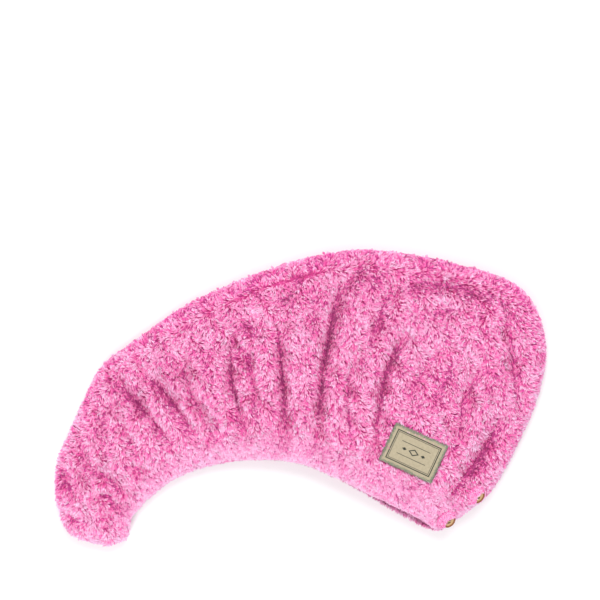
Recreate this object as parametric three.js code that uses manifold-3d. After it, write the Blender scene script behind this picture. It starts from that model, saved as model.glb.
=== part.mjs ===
// Hair turban towel, lying flat: a crescent pocket of plush cloth. Two panels are sewn together
// along the outer rim and carry a gathered casing along the concave hem, where the head goes in.
// A woven patch sits near the nape, two wooden buttons on the back edge, and the elastic loop that
// fastens over a button is folded under the tail tip.
// Millimetres, +Z up. The origin is on the floor, under the middle of the outline.

import * as THREE from 'three';
import { mergeVertices } from 'three/addons/utils/BufferGeometryUtils.js';
import Module from 'manifold-3d';

// The pocket
const LENGTH = 614; // along X, from the tail to the back of the crown
const DEPTH = 370; // along Y, from the nape corner to the top of the crown
const SEAM_HEIGHT = 14; // the rim seam above the floor
const CROWN_RISE = 36; // the fullest part of the upper panel above the seam
const ROUND_REACH = 105; // distance from the edge over which the upper panel rises
const UNDER_REACH = 70; // distance from the edge over which the lower panel comes down
const WALL = 6; // ground cloth with its pile
const GAP = 0.3; // clearance between neighbouring pieces

// The hem and the mouth
const BAND_WIDTH = 47; // widest stretch of the casing along the hem
const MOUTH_RISE = 12; // upper lip above the seam
const MOUTH_DROP = 6; // lower lip below the seam
const LIP_STEP = 6; // how far the lower lip reaches past the upper one
const LIP_MOST = 0.25; // share of the pocket's width that the step may take at its narrow ends

// Folds
const FOLD_DEPTH = 15; // the deepest crease
const FOLD_REACH = 35; // the widest crease, from its line to where the cloth is smooth again
const FOLD_EDGE = 16; // distance from the edge over which a crease fades in
const UNDER_FOLD = 0.3; // share of a crease that shows on the underside of the rounded edge
const BAND_FOLD = 0.3; // share of a crease that the casing takes

// The woven patch
const LABEL_LENGTH = 70;
const LABEL_WIDTH = 50;
const LABEL_THICKNESS = 1.4;
const LABEL_TURN = -24.8; // degrees
const LABEL_EASE = 14; // cloth round the patch over which the creases come back

// The buttons
const BUTTON_DIAMETER = 18.5;
const BUTTON_THICKNESS = 3.6;
const BUTTON_RIM = 2.6; // width of the raised rim
const BUTTON_DISH = 1.2; // depth of the dish inside it
const BUTTON_HOLE = 2; // diameter of the four thread holes
const BUTTON_HOLE_SPACING = 3.6;
const BUTTON_SEAT = 18; // length of the cut that seats a button in the pile

// Half section of a button from the middle of its back to the middle of its dish. inner is a share of
// the rim's width, taken in from the edge. up is a share of the thickness, less dish of the dish's depth.
const BUTTON_PROFILE = table(
  ['inner', 'up', 'dish'],
  [
    [0.57, 0.00, 0.00],
    [0.10, 0.28, 0.00],
    [0.00, 0.60, 0.00],
    [0.25, 0.92, 0.00],
    [0.60, 1.00, 0.00],
    [1.00, 1.00, 0.55],
    [1.75, 1.00, 1.00],
  ],
);
const BUTTON_HOLES = [[1, 1], [1, -1], [-1, 1], [-1, -1]];

// The elastic loop
const LOOP_DIAMETER = 2.4;

const PLUSH = { color: 0xed87bb, roughness: 0.95, metalness: 0 };
const BAND_PLUSH = { color: 0xf29cc8, roughness: 0.95, metalness: 0 };
const WEAVE = { color: 0xbeb496, roughness: 0.85, metalness: 0 };
const WOOD = { color: 0xb98348, roughness: 0.45, metalness: 0 };
const ELASTIC = { color: 0xe58bb4, roughness: 0.7, metalness: 0 };

// Sections from the tail tip round the crescent to the nape corner. The hem and rim ends are shares
// of LENGTH and DEPTH from the lower left corner of the outline. full is a share of CROWN_RISE,
// round of ROUND_REACH, under of UNDER_REACH, band of BAND_WIDTH, mouth of the lips' rise and drop,
// and lip of LIP_STEP.
const SECTIONS = table(
  ['hemX', 'hemY', 'rimX', 'rimY', 'full', 'round', 'under', 'band', 'mouth', 'lip'],
  [
    [0.108, 0.000, 0.108, 0.000, 0.46, 0.45, 0.80, 0.00, 0.00, 0.00],
    [0.141, 0.020, 0.059, 0.017, 0.46, 0.45, 0.80, 0.00, 0.00, 0.00],
    [0.153, 0.054, 0.022, 0.054, 0.46, 0.45, 0.75, 0.15, 0.00, 0.00],
    [0.155, 0.091, 0.006, 0.128, 0.46, 0.48, 0.65, 0.32, 0.00, 0.00],
    [0.173, 0.128, 0.000, 0.203, 0.46, 0.52, 0.50, 0.44, 0.00, 0.00],
    [0.198, 0.169, 0.006, 0.291, 0.49, 0.60, 0.42, 0.54, 0.00, 0.00],
    [0.230, 0.211, 0.031, 0.392, 0.54, 0.70, 0.40, 0.60, 0.00, 0.00],
    [0.271, 0.245, 0.059, 0.493, 0.60, 0.80, 0.40, 0.65, 0.00, 0.00],
    [0.316, 0.269, 0.098, 0.611, 0.67, 0.88, 0.40, 0.66, 0.00, 0.00],
    [0.360, 0.284, 0.173, 0.706, 0.74, 0.94, 0.40, 0.66, 0.05, 0.00],
    [0.409, 0.291, 0.265, 0.811, 0.81, 0.98, 0.40, 0.66, 0.50, 0.00],
    [0.458, 0.291, 0.377, 0.899, 0.87, 1.00, 0.40, 0.66, 0.85, 0.00],
    [0.507, 0.277, 0.495, 0.966, 0.92, 1.00, 0.40, 0.66, 1.00, 0.00],
    [0.552, 0.247, 0.611, 1.000, 0.97, 1.00, 0.40, 0.66, 1.00, 0.00],
    [0.597, 0.211, 0.723, 0.986, 1.00, 1.00, 0.40, 0.68, 1.00, 0.05],
    [0.642, 0.169, 0.829, 0.949, 1.00, 0.98, 0.40, 0.72, 1.00, 0.30],
    [0.682, 0.128, 0.931, 0.892, 1.00, 0.92, 0.40, 0.78, 1.00, 0.75],
    [0.713, 0.100, 0.984, 0.791, 0.99, 0.84, 0.40, 0.88, 1.00, 1.00],
    [0.737, 0.078, 1.000, 0.642, 0.97, 0.72, 0.40, 0.97, 0.90, 1.00],
    [0.755, 0.062, 0.980, 0.486, 0.93, 0.58, 0.40, 1.00, 0.60, 0.80],
    [0.766, 0.054, 0.949, 0.368, 0.88, 0.44, 0.40, 1.00, 0.20, 0.35],
    [0.773, 0.051, 0.916, 0.257, 0.84, 0.38, 0.40, 0.96, 0.00, 0.05],
    [0.779, 0.051, 0.880, 0.169, 0.82, 0.36, 0.40, 0.80, 0.00, 0.00],
    [0.784, 0.052, 0.837, 0.112, 0.80, 0.36, 0.40, 0.45, 0.00, 0.00],
    [0.798, 0.066, 0.798, 0.066, 0.80, 0.36, 0.40, 0.00, 0.00, 0.00],
  ],
);
const LAST_ROW = SECTIONS.length - 1;
const BAND_ROWS = { first: 3, last: 18.5 }; // the casing follows the hem between these sections

// Creases, each from its rim end over its middle to its hem end, in shares of LENGTH and DEPTH.
// depth is a share of FOLD_DEPTH, and a ridge has a depth below zero. reach is a share of FOLD_REACH.
const FOLDS = table(
  ['rimX', 'rimY', 'midX', 'midY', 'hemX', 'hemY', 'depth', 'reach'],
  [
    [0.116, 0.595, 0.177, 0.476, 0.251, 0.328, 0.60, 0.38],
    [0.173, 0.601, 0.238, 0.500, 0.295, 0.358, 0.60, 0.44],
    [0.214, 0.635, 0.259, 0.520, 0.320, 0.318, -0.33, 0.38],
    [0.263, 0.679, 0.275, 0.534, 0.332, 0.358, 0.53, 0.44],
    [0.301, 0.662, 0.316, 0.527, 0.340, 0.409, -0.20, 0.44],
    [0.371, 0.747, 0.360, 0.578, 0.399, 0.365, 0.87, 0.38],
    [0.383, 0.696, 0.401, 0.568, 0.411, 0.399, 0.53, 0.38],
    [0.360, 0.730, 0.389, 0.757, 0.422, 0.713, 0.33, 0.88],
    [0.454, 0.770, 0.462, 0.588, 0.473, 0.351, 0.87, 0.38],
    [0.434, 0.818, 0.479, 0.865, 0.509, 0.959, 0.40, 0.44],
    [0.523, 0.905, 0.527, 0.824, 0.517, 0.730, 0.33, 0.50],
    [0.585, 0.912, 0.552, 0.662, 0.532, 0.345, 1.00, 0.40],
    [0.631, 0.963, 0.607, 0.919, 0.582, 0.865, 0.40, 0.38],
    [0.621, 0.676, 0.595, 0.534, 0.605, 0.345, 0.60, 0.38],
    [0.703, 0.909, 0.664, 0.804, 0.642, 0.669, 0.53, 0.50],
    [0.723, 0.733, 0.672, 0.588, 0.648, 0.304, 0.80, 0.38],
    [0.770, 0.757, 0.731, 0.628, 0.686, 0.453, -0.20, 0.50],
    [0.796, 0.689, 0.739, 0.588, 0.699, 0.459, 0.40, 0.75],
    [0.815, 0.679, 0.784, 0.561, 0.754, 0.443, 0.33, 1.00],
    [0.870, 0.635, 0.829, 0.500, 0.815, 0.331, 0.53, 0.50],
    [0.906, 0.595, 0.866, 0.459, 0.835, 0.324, -0.20, 0.50],
    [0.906, 0.453, 0.866, 0.331, 0.798, 0.179, 0.73, 0.56],
    [0.916, 0.770, 0.929, 0.601, 0.943, 0.432, 0.53, 0.38],
    [0.699, 0.905, 0.804, 0.882, 0.894, 0.838, 0.47, 0.38],
    [0.894, 0.838, 0.912, 0.811, 0.919, 0.757, 0.33, 0.38],
    [0.752, 0.797, 0.784, 0.804, 0.829, 0.811, 0.27, 0.38],
    [0.098, 0.412, 0.106, 0.466, 0.130, 0.507, 0.40, 0.38],
    [0.132, 0.443, 0.149, 0.372, 0.171, 0.324, 0.40, 0.38],
    [0.059, 0.409, 0.059, 0.318, 0.088, 0.270, 0.40, 0.50],
    [0.014, 0.284, 0.026, 0.230, 0.051, 0.182, 0.40, 0.56],
    [0.075, 0.284, 0.116, 0.230, 0.161, 0.169, 0.40, 0.38],
    [0.128, 0.301, 0.165, 0.274, 0.185, 0.230, 0.33, 0.44],
    [0.075, 0.169, 0.104, 0.179, 0.136, 0.135, 0.33, 0.38],
    [0.035, 0.122, 0.043, 0.095, 0.075, 0.095, 0.33, 0.38],
    [0.096, 0.108, 0.106, 0.105, 0.116, 0.115, 0.27, 0.38],
    [0.210, 0.304, 0.246, 0.280, 0.283, 0.311, 0.20, 0.50],
    [0.996, 0.588, 0.976, 0.486, 0.947, 0.399, 0.27, 0.25],
  ],
);

// Middle of the woven patch, in shares of LENGTH and DEPTH
const LABEL_PLACE = { x: 0.726, y: 0.324 };

// The buttons on the upper skin: a section, a place across it from hem -1 to rim 1, and the compass
// direction and the rise of the face's outward normal, in degrees
const BUTTONS = table(
  ['name', 'row', 'across', 'facing', 'rise'],
  [
    ['button_nape', 20.7, -0.66, -47, 50],
    ['button_back', 20.85, 0.13, -36, 48],
  ],
);

// Route of the elastic, from one sewn end round the bight to the other
const LOOP_ROUTE = [
  [-239.6, -177.5, 7.9],
  [-239.7, -174.5, 6.6],
  [-239.9, -171.0, 4.6],
  [-240.2, -167.5, 2.6],
  [-240.5, -164.0, 1.6],
  [-240.8, -160.5, 1.3],
  [-242.0, -157.4, 1.3],
  [-244.6, -155.3, 1.3],
  [-247.6, -154.7, 1.3],
  [-250.6, -155.6, 1.3],
  [-252.8, -158.1, 1.3],
  [-253.6, -161.4, 1.3],
  [-253.8, -164.9, 1.6],
  [-254.0, -168.3, 2.8],
  [-254.1, -171.7, 4.7],
  [-254.2, -174.9, 6.7],
  [-254.3, -177.5, 8.0],
];

// Fineness of the faceted skins
const UPPER_STATIONS = 104;
const UNDER_STATIONS = 60;
const CAVITY_STATIONS = 48;
const BAND_STATIONS = 30;
const UPPER_ACROSS = [-1, -0.96, -0.86, -0.72, -0.55, -0.37, -0.19, 0, 0.19, 0.37, 0.55, 0.72, 0.86, 0.96, 1];
const UNDER_ACROSS = [-1, -0.94, -0.8, -0.55, 0, 0.55, 0.8, 0.94, 1];
const CAVITY_UPPER_ACROSS = [-1, -0.93, -0.8, -0.63, -0.42, -0.21, 0, 0.21, 0.42, 0.63, 0.8, 0.93, 1];
const CAVITY_UNDER_ACROSS = [-1, -0.88, -0.6, 0, 0.6, 0.88, 1];
const RULED = [-1, 1];
const STEPS_PER_ROW = 16;
const FOLD_SEGMENTS = 8;
const BUTTON_SIDES = 16;
const HOLE_SIDES = 8;
const LOOP_SIDES = 8;
const LOOP_STEPS = 26;
const WELD = 1e-4;

// Powers of the rounded edges: 2 is an ellipse, and a higher one is squarer
const UPPER_POWER = 2.2;
const UNDER_POWER = 1.6;

const OUTSIDE = 10; // how far a cutting block reaches past what it cuts
const BAND_RUN_OUT = 90; // straight end of the casing's block, past the nape corner

function table(columns, rows) {
  return rows.map((row) => Object.fromEntries(columns.map((name, index) => [name, row[index]])));
}

function smooth(value) {
  const share = THREE.MathUtils.clamp(value, 0, 1);
  return share * share * (3 - 2 * share);
}

// Column of the section table at any row, by a Catmull-Rom spline
function column(name, row) {
  const start = Math.min(Math.floor(row), LAST_ROW - 1);
  const u = row - start;
  const [before, from, to, after] = [-1, 0, 1, 2].map(
    (step) => SECTIONS[THREE.MathUtils.clamp(start + step, 0, LAST_ROW)][name],
  );
  const bend = 2 * before - 5 * from + 4 * to - after;
  const twist = 3 * (from - to) + after - before;
  return from + 0.5 * u * (to - before + u * (bend + u * twist));
}

function share(name, row) {
  return THREE.MathUtils.clamp(column(name, row), 0, 1);
}

function place(x, y) {
  return new THREE.Vector2((x - 0.5) * LENGTH, (y - 0.5) * DEPTH);
}

function edgePoint(side, row) {
  return place(column(`${side}X`, row), column(`${side}Y`, row));
}

// Way into the pocket from an edge: left of the hem, and right of the rim, going to the nape
function inward(side, row) {
  const before = edgePoint(side, Math.max(row - 0.5 / STEPS_PER_ROW, 0));
  const after = edgePoint(side, Math.min(row + 0.5 / STEPS_PER_ROW, LAST_ROW));
  const along = after.sub(before).normalize();
  return side === 'hem' ? new THREE.Vector2(-along.y, along.x) : new THREE.Vector2(along.y, -along.x);
}

// The outline as a closed polygon, for distances from the edge
const rowSteps = Array.from({ length: LAST_ROW * STEPS_PER_ROW + 1 }, (_, index) => index / STEPS_PER_ROW);
const outline = [
  ...rowSteps.map((row) => edgePoint('hem', row)),
  ...rowSteps.map((row) => edgePoint('rim', row)).reverse(),
];

function distanceToSegment(point, from, to) {
  const line = to.clone().sub(from);
  const square = line.lengthSq();
  const along = square > 0 ? THREE.MathUtils.clamp(point.clone().sub(from).dot(line) / square, 0, 1) : 0;
  return { along, distance: point.distanceTo(from.clone().addScaledVector(line, along)) };
}

function distanceToEdge(point) {
  return outline.reduce(
    (nearest, from, index) =>
      Math.min(nearest, distanceToSegment(point, from, outline[(index + 1) % outline.length]).distance),
    Infinity,
  );
}

// Rows spaced evenly by the mean of the hem's and the rim's length
function spacedRows(count, first = 0, last = LAST_ROW) {
  const steps = rowSteps.filter((row) => row > first && row < last);
  const rows = [first, ...steps, last];
  const lengths = [0];
  for (let index = 1; index < rows.length; index += 1) {
    const hem = edgePoint('hem', rows[index]).distanceTo(edgePoint('hem', rows[index - 1]));
    const rim = edgePoint('rim', rows[index]).distanceTo(edgePoint('rim', rows[index - 1]));
    lengths.push(lengths[index - 1] + (hem + rim) / 2);
  }
  const total = lengths[lengths.length - 1];
  return Array.from({ length: count + 1 }, (_, index) => {
    const target = Math.min((total * index) / count, total);
    const next = Math.max(lengths.findIndex((length) => length >= target), 1);
    const part = (target - lengths[next - 1]) / (lengths[next] - lengths[next - 1]);
    return THREE.MathUtils.lerp(rows[next - 1], rows[next], part);
  });
}

// Each crease as a curve through its three points
const creases = FOLDS.map((fold) => {
  const rim = place(fold.rimX, fold.rimY);
  const hem = place(fold.hemX, fold.hemY);
  const middle = place(fold.midX, fold.midY);
  const control = middle.multiplyScalar(2).sub(rim.clone().add(hem).multiplyScalar(0.5));
  return {
    points: new THREE.QuadraticBezierCurve(rim, control, hem).getPoints(FOLD_SEGMENTS),
    depth: fold.depth * FOLD_DEPTH,
    reach: fold.reach * FOLD_REACH,
  };
});

// Depth of one crease: a V with a smooth shoulder across it, fading out at both ends
function creaseDepth(crease, point, widening) {
  let nearest = { distance: Infinity };
  for (let index = 0; index < FOLD_SEGMENTS; index += 1) {
    const found = distanceToSegment(point, crease.points[index], crease.points[index + 1]);
    if (found.distance < nearest.distance) {
      nearest = { distance: found.distance, along: (index + found.along) / FOLD_SEGMENTS };
    }
  }
  const across = Math.min(nearest.distance / (crease.reach + widening), 1);
  const profile = (1 - across) ** 2 * (1 + across);
  const taper = Math.sqrt(Math.max(4 * nearest.along * (1 - nearest.along), 0));
  return crease.depth * profile * taper;
}

const labelMiddle = place(LABEL_PLACE.x, LABEL_PLACE.y);
const labelTurn = THREE.MathUtils.degToRad(LABEL_TURN);

// 0 under the woven patch, which holds the cloth flat, and 1 clear of it
function clearOfLabel(point) {
  const local = point.clone().sub(labelMiddle).rotateAround(new THREE.Vector2(), -labelTurn);
  const beyond = new THREE.Vector2(
    Math.max(Math.abs(local.x) - LABEL_LENGTH / 2, 0),
    Math.max(Math.abs(local.y) - LABEL_WIDTH / 2, 0),
  );
  return smooth(beyond.length() / LABEL_EASE);
}

// How far the creases take the cloth in at a point that lies fromHem inside the hem
function foldDepth(point, row, fromEdge, fromHem, widening) {
  const sum = creases.reduce((total, crease) => total + creaseDepth(crease, point, widening), 0);
  const bandEdge = share('band', row) * BAND_WIDTH;
  const pastBand = smooth(0.5 + (fromHem - bandEdge) / FOLD_EDGE);
  const onBand = THREE.MathUtils.lerp(BAND_FOLD, 1, pastBand);
  return Math.min(sum, FOLD_DEPTH) * smooth(fromEdge / FOLD_EDGE) * onBand * clearOfLabel(point);
}

// Rounded rise from 0 at an edge to 1 at the reach
function rounded(fromEdge, reach, power) {
  const left = 1 - THREE.MathUtils.clamp(fromEdge / reach, 0, 1);
  return (1 - left ** power) ** (1 / power);
}

// Place on a skin of the pocket. inset is how far the skin lies inside the outer faces, and lip how
// far its hem edge is set back from the outline.
function planPoint(row, across, inset, lip) {
  const hem = edgePoint('hem', row).addScaledVector(inward('hem', row), inset + lip);
  const rim = edgePoint('rim', row).addScaledVector(inward('rim', row), inset);
  return { point: hem.clone().lerp(rim, (across + 1) / 2), fromHem: ((across + 1) / 2) * hem.distanceTo(rim) };
}

// Step from the lower lip to the upper one
function lipStep(row, width) {
  return Math.min(share('lip', row) * LIP_STEP, width * LIP_MOST);
}

// 1 at the hem, and 0 from the middle to the rim
function hemShare(across) {
  return smooth(-across);
}

// Height of the upper panel at a place, for its outer skin (inset 0) or its lining side (inset WALL)
function upperHeight(point, row, across, inset, lip, fromHem) {
  const lift = SEAM_HEIGHT + MOUTH_RISE * share('mouth', row) * hemShare(across);
  if (Math.abs(across) === 1) {
    return lift;
  }
  const fromEdge = Math.max(distanceToEdge(point) - inset - lip * hemShare(across), 0);
  const reach = share('round', row) * ROUND_REACH - inset;
  const top = SEAM_HEIGHT + share('full', row) * CROWN_RISE - inset;
  const rise = Math.max(top - lift, 0) * rounded(fromEdge, reach, UPPER_POWER);
  return lift + rise - foldDepth(point, row, fromEdge, fromHem, inset);
}

// Height of the lower panel at a place, on the same two skins
function lowerHeight(point, row, across, inset, lip, fromHem) {
  const lift = SEAM_HEIGHT - MOUTH_DROP * share('mouth', row) * hemShare(across);
  if (Math.abs(across) === 1) {
    return lift;
  }
  const fromEdge = Math.max(distanceToEdge(point) - inset - lip * hemShare(across), 0);
  const reach = share('under', row) * UNDER_REACH;
  const down = rounded(fromEdge, reach, UNDER_POWER);
  const crease = UNDER_FOLD * foldDepth(point, row, fromEdge, fromHem, inset);
  return lift - Math.max(lift - inset, 0) * down + crease * (1 - down);
}

// Point of a skin. lipScale is 1 where its hem edge stands back by the step, and 0 where it doesn't.
function skinPoint(height, row, across, inset, lipScale) {
  const width = edgePoint('hem', row).distanceTo(edgePoint('rim', row));
  const lip = lipScale * lipStep(row, width);
  const { point, fromHem } = planPoint(row, across, inset, lip);
  return new THREE.Vector3(point.x, point.y, height(point, row, across, inset, lip, fromHem));
}

// Closed body between an upper and a lower sheet of points, each given station by station
function closedBody(upper, lower) {
  const rings = upper.map((points, index) => [...points, ...[...lower[index]].reverse()]);
  const size = rings[0].length;
  const index = [];
  for (let station = 0; station < rings.length - 1; station += 1) {
    for (let step = 0; step < size; step += 1) {
      const here = station * size + step;
      const beside = station * size + ((step + 1) % size);
      index.push(here, here + size, beside + size, here, beside + size, beside);
    }
  }
  const end = (rings.length - 1) * size;
  for (let step = 1; step < size - 1; step += 1) {
    index.push(0, step, step + 1, end, end + step + 1, end + step);
  }
  const geometry = new THREE.BufferGeometry().setFromPoints(rings.flat());
  geometry.setIndex(index);
  return geometry;
}

const wasm = await Module();
wasm.setup();

// Solid of a closed geometry, with shared corners merged and collapsed triangles left out
function toSolid(geometry) {
  const bare = geometry.clone();
  bare.deleteAttribute('normal');
  bare.deleteAttribute('uv');
  const merged = mergeVertices(bare, WELD);
  const corners = Array.from(merged.index.array);
  const kept = corners.filter((_, at) => {
    const [a, b, c] = corners.slice(at - (at % 3), at - (at % 3) + 3);
    return a !== b && b !== c && c !== a;
  });
  return new wasm.Manifold(
    new wasm.Mesh({
      numProp: 3,
      vertProperties: merged.getAttribute('position').array,
      triVerts: Uint32Array.from(kept),
    }),
  );
}

function toGeometry(solid) {
  const { vertProperties, triVerts } = solid.getMesh();
  const geometry = new THREE.BufferGeometry();
  geometry.setAttribute('position', new THREE.BufferAttribute(vertProperties, 3));
  geometry.setIndex(new THREE.BufferAttribute(triVerts, 1));
  return geometry;
}

// Grid of points over the given rows and places across
function sheet(rows, acrossPlaces, pointAt) {
  return rows.map((row) => acrossPlaces.map((across) => pointAt(row, across)));
}

// One panel before it is hollowed out: its outer skin, and the flat face where it meets the other
// panel, with their shared edges half the clearance off the seam
function panelBody(height, stations, acrossPlaces, offset, lipScale) {
  const rows = spacedRows(stations);
  const point = (row, across, shift) =>
    skinPoint(height, row, across, 0, lipScale).add(new THREE.Vector3(0, 0, shift));
  const onEdge = (across) => Math.abs(across) === 1;
  const skin = sheet(rows, acrossPlaces, (row, across) => point(row, across, onEdge(across) ? offset : 0));
  const face = sheet(rows, RULED, (row, across) => point(row, across, offset));
  return offset > 0 ? closedBody(skin, face) : closedBody(face, skin);
}

const upperBody = panelBody(upperHeight, UPPER_STATIONS, UPPER_ACROSS, GAP / 2, 1);
const lowerBody = panelBody(lowerHeight, UNDER_STATIONS, UNDER_ACROSS, -GAP / 2, 0);

const cavityStations = spacedRows(CAVITY_STATIONS);
const cavity = closedBody(
  sheet(cavityStations, CAVITY_UPPER_ACROSS, (row, across) => skinPoint(upperHeight, row, across, WALL, 1)),
  sheet(cavityStations, CAVITY_UNDER_ACROSS, (row, across) => skinPoint(lowerHeight, row, across, WALL, 1)),
);
const hollow = toSolid(cavity);

// Block over the casing, from outside the hem to the casing's stitch line, grown by a clearance. It
// starts square near the tail and runs straight out through the back edge at the nape.
function bandBlock(clearance) {
  const rows = spacedRows(BAND_STATIONS, BAND_ROWS.first, BAND_ROWS.last);
  const lines = rows.map((row) => {
    const reach = share('band', row) * BAND_WIDTH + clearance;
    return [-OUTSIDE, reach].map((step) => edgePoint('hem', row).addScaledVector(inward('hem', row), step));
  });
  const shifted = (line, way, length) => line.map((point) => point.clone().addScaledVector(way, length));
  const alongHem = ({ x, y }) => new THREE.Vector2(y, -x);
  lines[0] = shifted(lines[0], alongHem(inward('hem', BAND_ROWS.first)), -clearance);
  lines.push(shifted(lines[lines.length - 1], alongHem(inward('hem', BAND_ROWS.last)), BAND_RUN_OUT));
  const level = (height) => lines.map((line) => line.map(({ x, y }) => new THREE.Vector3(x, y, height)));
  return toSolid(closedBody(level(SEAM_HEIGHT + CROWN_RISE + OUTSIDE), level(-OUTSIDE)));
}

const bandSpace = bandBlock(0);
const panelSpace = bandBlock(GAP);
const upperShell = BUTTONS.reduce(
  (shell, spec) => shell.subtract(buttonSeat(spec)),
  toSolid(upperBody).subtract(hollow),
);
const lowerShell = toSolid(lowerBody).subtract(hollow);

// The patch lies on the upper skin, as thick all over, with a clearance under it
function labelGeometry() {
  const top = SEAM_HEIGHT + CROWN_RISE + OUTSIDE;
  const block = new THREE.BoxGeometry(LABEL_LENGTH, LABEL_WIDTH, top);
  block.rotateZ(labelTurn).translate(labelMiddle.x, labelMiddle.y, top / 2);
  const under = toSolid(upperBody.clone().translate(0, 0, GAP));
  const over = toSolid(upperBody.clone().translate(0, 0, GAP + LABEL_THICKNESS));
  return toGeometry(over.subtract(under).intersect(toSolid(block)));
}

// A dished disc with a raised rim and four thread holes, its back on the XY plane
function buttonGeometry() {
  const radius = BUTTON_DIAMETER / 2;
  const section = BUTTON_PROFILE.map(
    ({ inner, up, dish }) =>
      new THREE.Vector2(radius - inner * BUTTON_RIM, up * BUTTON_THICKNESS - dish * BUTTON_DISH),
  );
  const middles = [0, BUTTON_THICKNESS - BUTTON_DISH].map((height) => new THREE.Vector2(0, height));
  const disc = new THREE.LatheGeometry([middles[0], ...section, middles[1]], BUTTON_SIDES).rotateX(Math.PI / 2);
  return BUTTON_HOLES.reduce((solid, [x, y]) => {
    const hole = new THREE.CylinderGeometry(BUTTON_HOLE / 2, BUTTON_HOLE / 2, BUTTON_SEAT, HOLE_SIDES);
    hole.rotateX(Math.PI / 2);
    hole.translate((x * BUTTON_HOLE_SPACING) / 2, (y * BUTTON_HOLE_SPACING) / 2, 0);
    return solid.subtract(toSolid(hole));
  }, toSolid(disc));
}

// Where a button sits: its back's middle on the upper skin, turned to its facing
function buttonPlace(spec) {
  const [facing, rise] = [spec.facing, spec.rise].map(THREE.MathUtils.degToRad);
  const normal = new THREE.Vector3(
    Math.cos(rise) * Math.cos(facing),
    Math.cos(rise) * Math.sin(facing),
    Math.sin(rise),
  );
  return {
    turn: new THREE.Quaternion().setFromUnitVectors(new THREE.Vector3(0, 0, 1), normal),
    position: skinPoint(upperHeight, spec.row, spec.across, 0, 1).addScaledVector(normal, GAP),
  };
}

// The hollow that a button presses into the pile, with its clearance
function buttonSeat(spec) {
  const radius = BUTTON_DIAMETER / 2 + GAP;
  const seat = new THREE.CylinderGeometry(radius, radius, BUTTON_SEAT, BUTTON_SIDES).rotateX(Math.PI / 2);
  seat.translate(0, 0, BUTTON_SEAT / 2 - GAP);
  const { turn, position } = buttonPlace(spec);
  return toSolid(seat.applyQuaternion(turn).translate(position.x, position.y, position.z));
}

function buttonMesh(spec) {
  const button = mesh(spec.name, toGeometry(buttonGeometry()), WOOD);
  const { turn, position } = buttonPlace(spec);
  button.quaternion.copy(turn);
  button.position.copy(position);
  return button;
}

function loopGeometry() {
  const path = new THREE.CatmullRomCurve3(LOOP_ROUTE.map((point) => new THREE.Vector3(...point)));
  const section = new THREE.Shape();
  section.absarc(0, 0, LOOP_DIAMETER / 2, 0, 2 * Math.PI);
  return new THREE.ExtrudeGeometry(section, {
    steps: LOOP_STEPS,
    curveSegments: LOOP_SIDES / 2,
    extrudePath: path,
    bevelEnabled: false,
  });
}

function mesh(name, geometry, finish) {
  const item = new THREE.Mesh(geometry, new THREE.MeshStandardMaterial(finish));
  item.name = name;
  return item;
}

const towel = new THREE.Group();
const pocket = new THREE.Group();
pocket.add(
  mesh('upper_panel', toGeometry(upperShell.subtract(panelSpace)), PLUSH),
  mesh('lower_panel', toGeometry(lowerShell.subtract(panelSpace)), PLUSH),
  mesh('upper_band', toGeometry(upperShell.intersect(bandSpace)), BAND_PLUSH),
  mesh('lower_band', toGeometry(lowerShell.intersect(bandSpace)), BAND_PLUSH),
);
const fastenings = new THREE.Group();
fastenings.add(...BUTTONS.map(buttonMesh), mesh('tail_loop', loopGeometry(), ELASTIC));
towel.add(pocket, fastenings, mesh('label_patch', labelGeometry(), WEAVE));

export default towel;
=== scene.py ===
"""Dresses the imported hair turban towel: deep plush, gathered hem, woven patch, wooden buttons, elastic loop.

The pocket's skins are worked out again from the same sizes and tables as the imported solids, set in
from them by the depth of the pile, and the pile stands on them as tufts. Everything is in metres, in
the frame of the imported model: +X to the back of the crown, +Y to its top, +Z up from the floor.
"""

from __future__ import annotations

import logging
import math
from dataclasses import dataclass
from enum import Enum
from functools import cached_property
from typing import Any, Iterator, Sequence

import bpy
import numpy as np
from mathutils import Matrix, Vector

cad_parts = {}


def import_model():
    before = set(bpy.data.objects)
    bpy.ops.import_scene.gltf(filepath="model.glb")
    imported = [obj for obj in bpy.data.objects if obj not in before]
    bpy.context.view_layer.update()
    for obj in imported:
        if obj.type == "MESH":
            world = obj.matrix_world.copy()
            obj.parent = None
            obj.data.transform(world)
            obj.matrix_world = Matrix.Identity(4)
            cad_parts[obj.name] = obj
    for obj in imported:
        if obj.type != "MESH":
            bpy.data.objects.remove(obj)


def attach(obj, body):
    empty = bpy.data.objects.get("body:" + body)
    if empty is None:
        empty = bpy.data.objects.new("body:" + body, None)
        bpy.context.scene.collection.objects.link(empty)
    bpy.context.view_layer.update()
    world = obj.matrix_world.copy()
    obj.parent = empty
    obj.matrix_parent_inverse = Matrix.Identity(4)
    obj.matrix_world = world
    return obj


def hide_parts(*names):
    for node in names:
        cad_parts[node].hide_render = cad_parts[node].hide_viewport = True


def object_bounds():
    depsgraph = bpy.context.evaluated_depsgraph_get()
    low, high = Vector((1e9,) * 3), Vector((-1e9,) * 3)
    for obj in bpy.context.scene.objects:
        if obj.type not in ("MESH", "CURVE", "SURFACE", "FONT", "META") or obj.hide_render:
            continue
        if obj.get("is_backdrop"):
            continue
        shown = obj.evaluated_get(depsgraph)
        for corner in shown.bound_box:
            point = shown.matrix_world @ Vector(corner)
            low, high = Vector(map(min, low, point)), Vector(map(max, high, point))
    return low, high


LOG = logging.getLogger("turban")
BODY = "root"
MM = 0.001
BAKE_MAP = "OFBake"
TONES = (0.02, 0.98)
Array = np.ndarray

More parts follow.
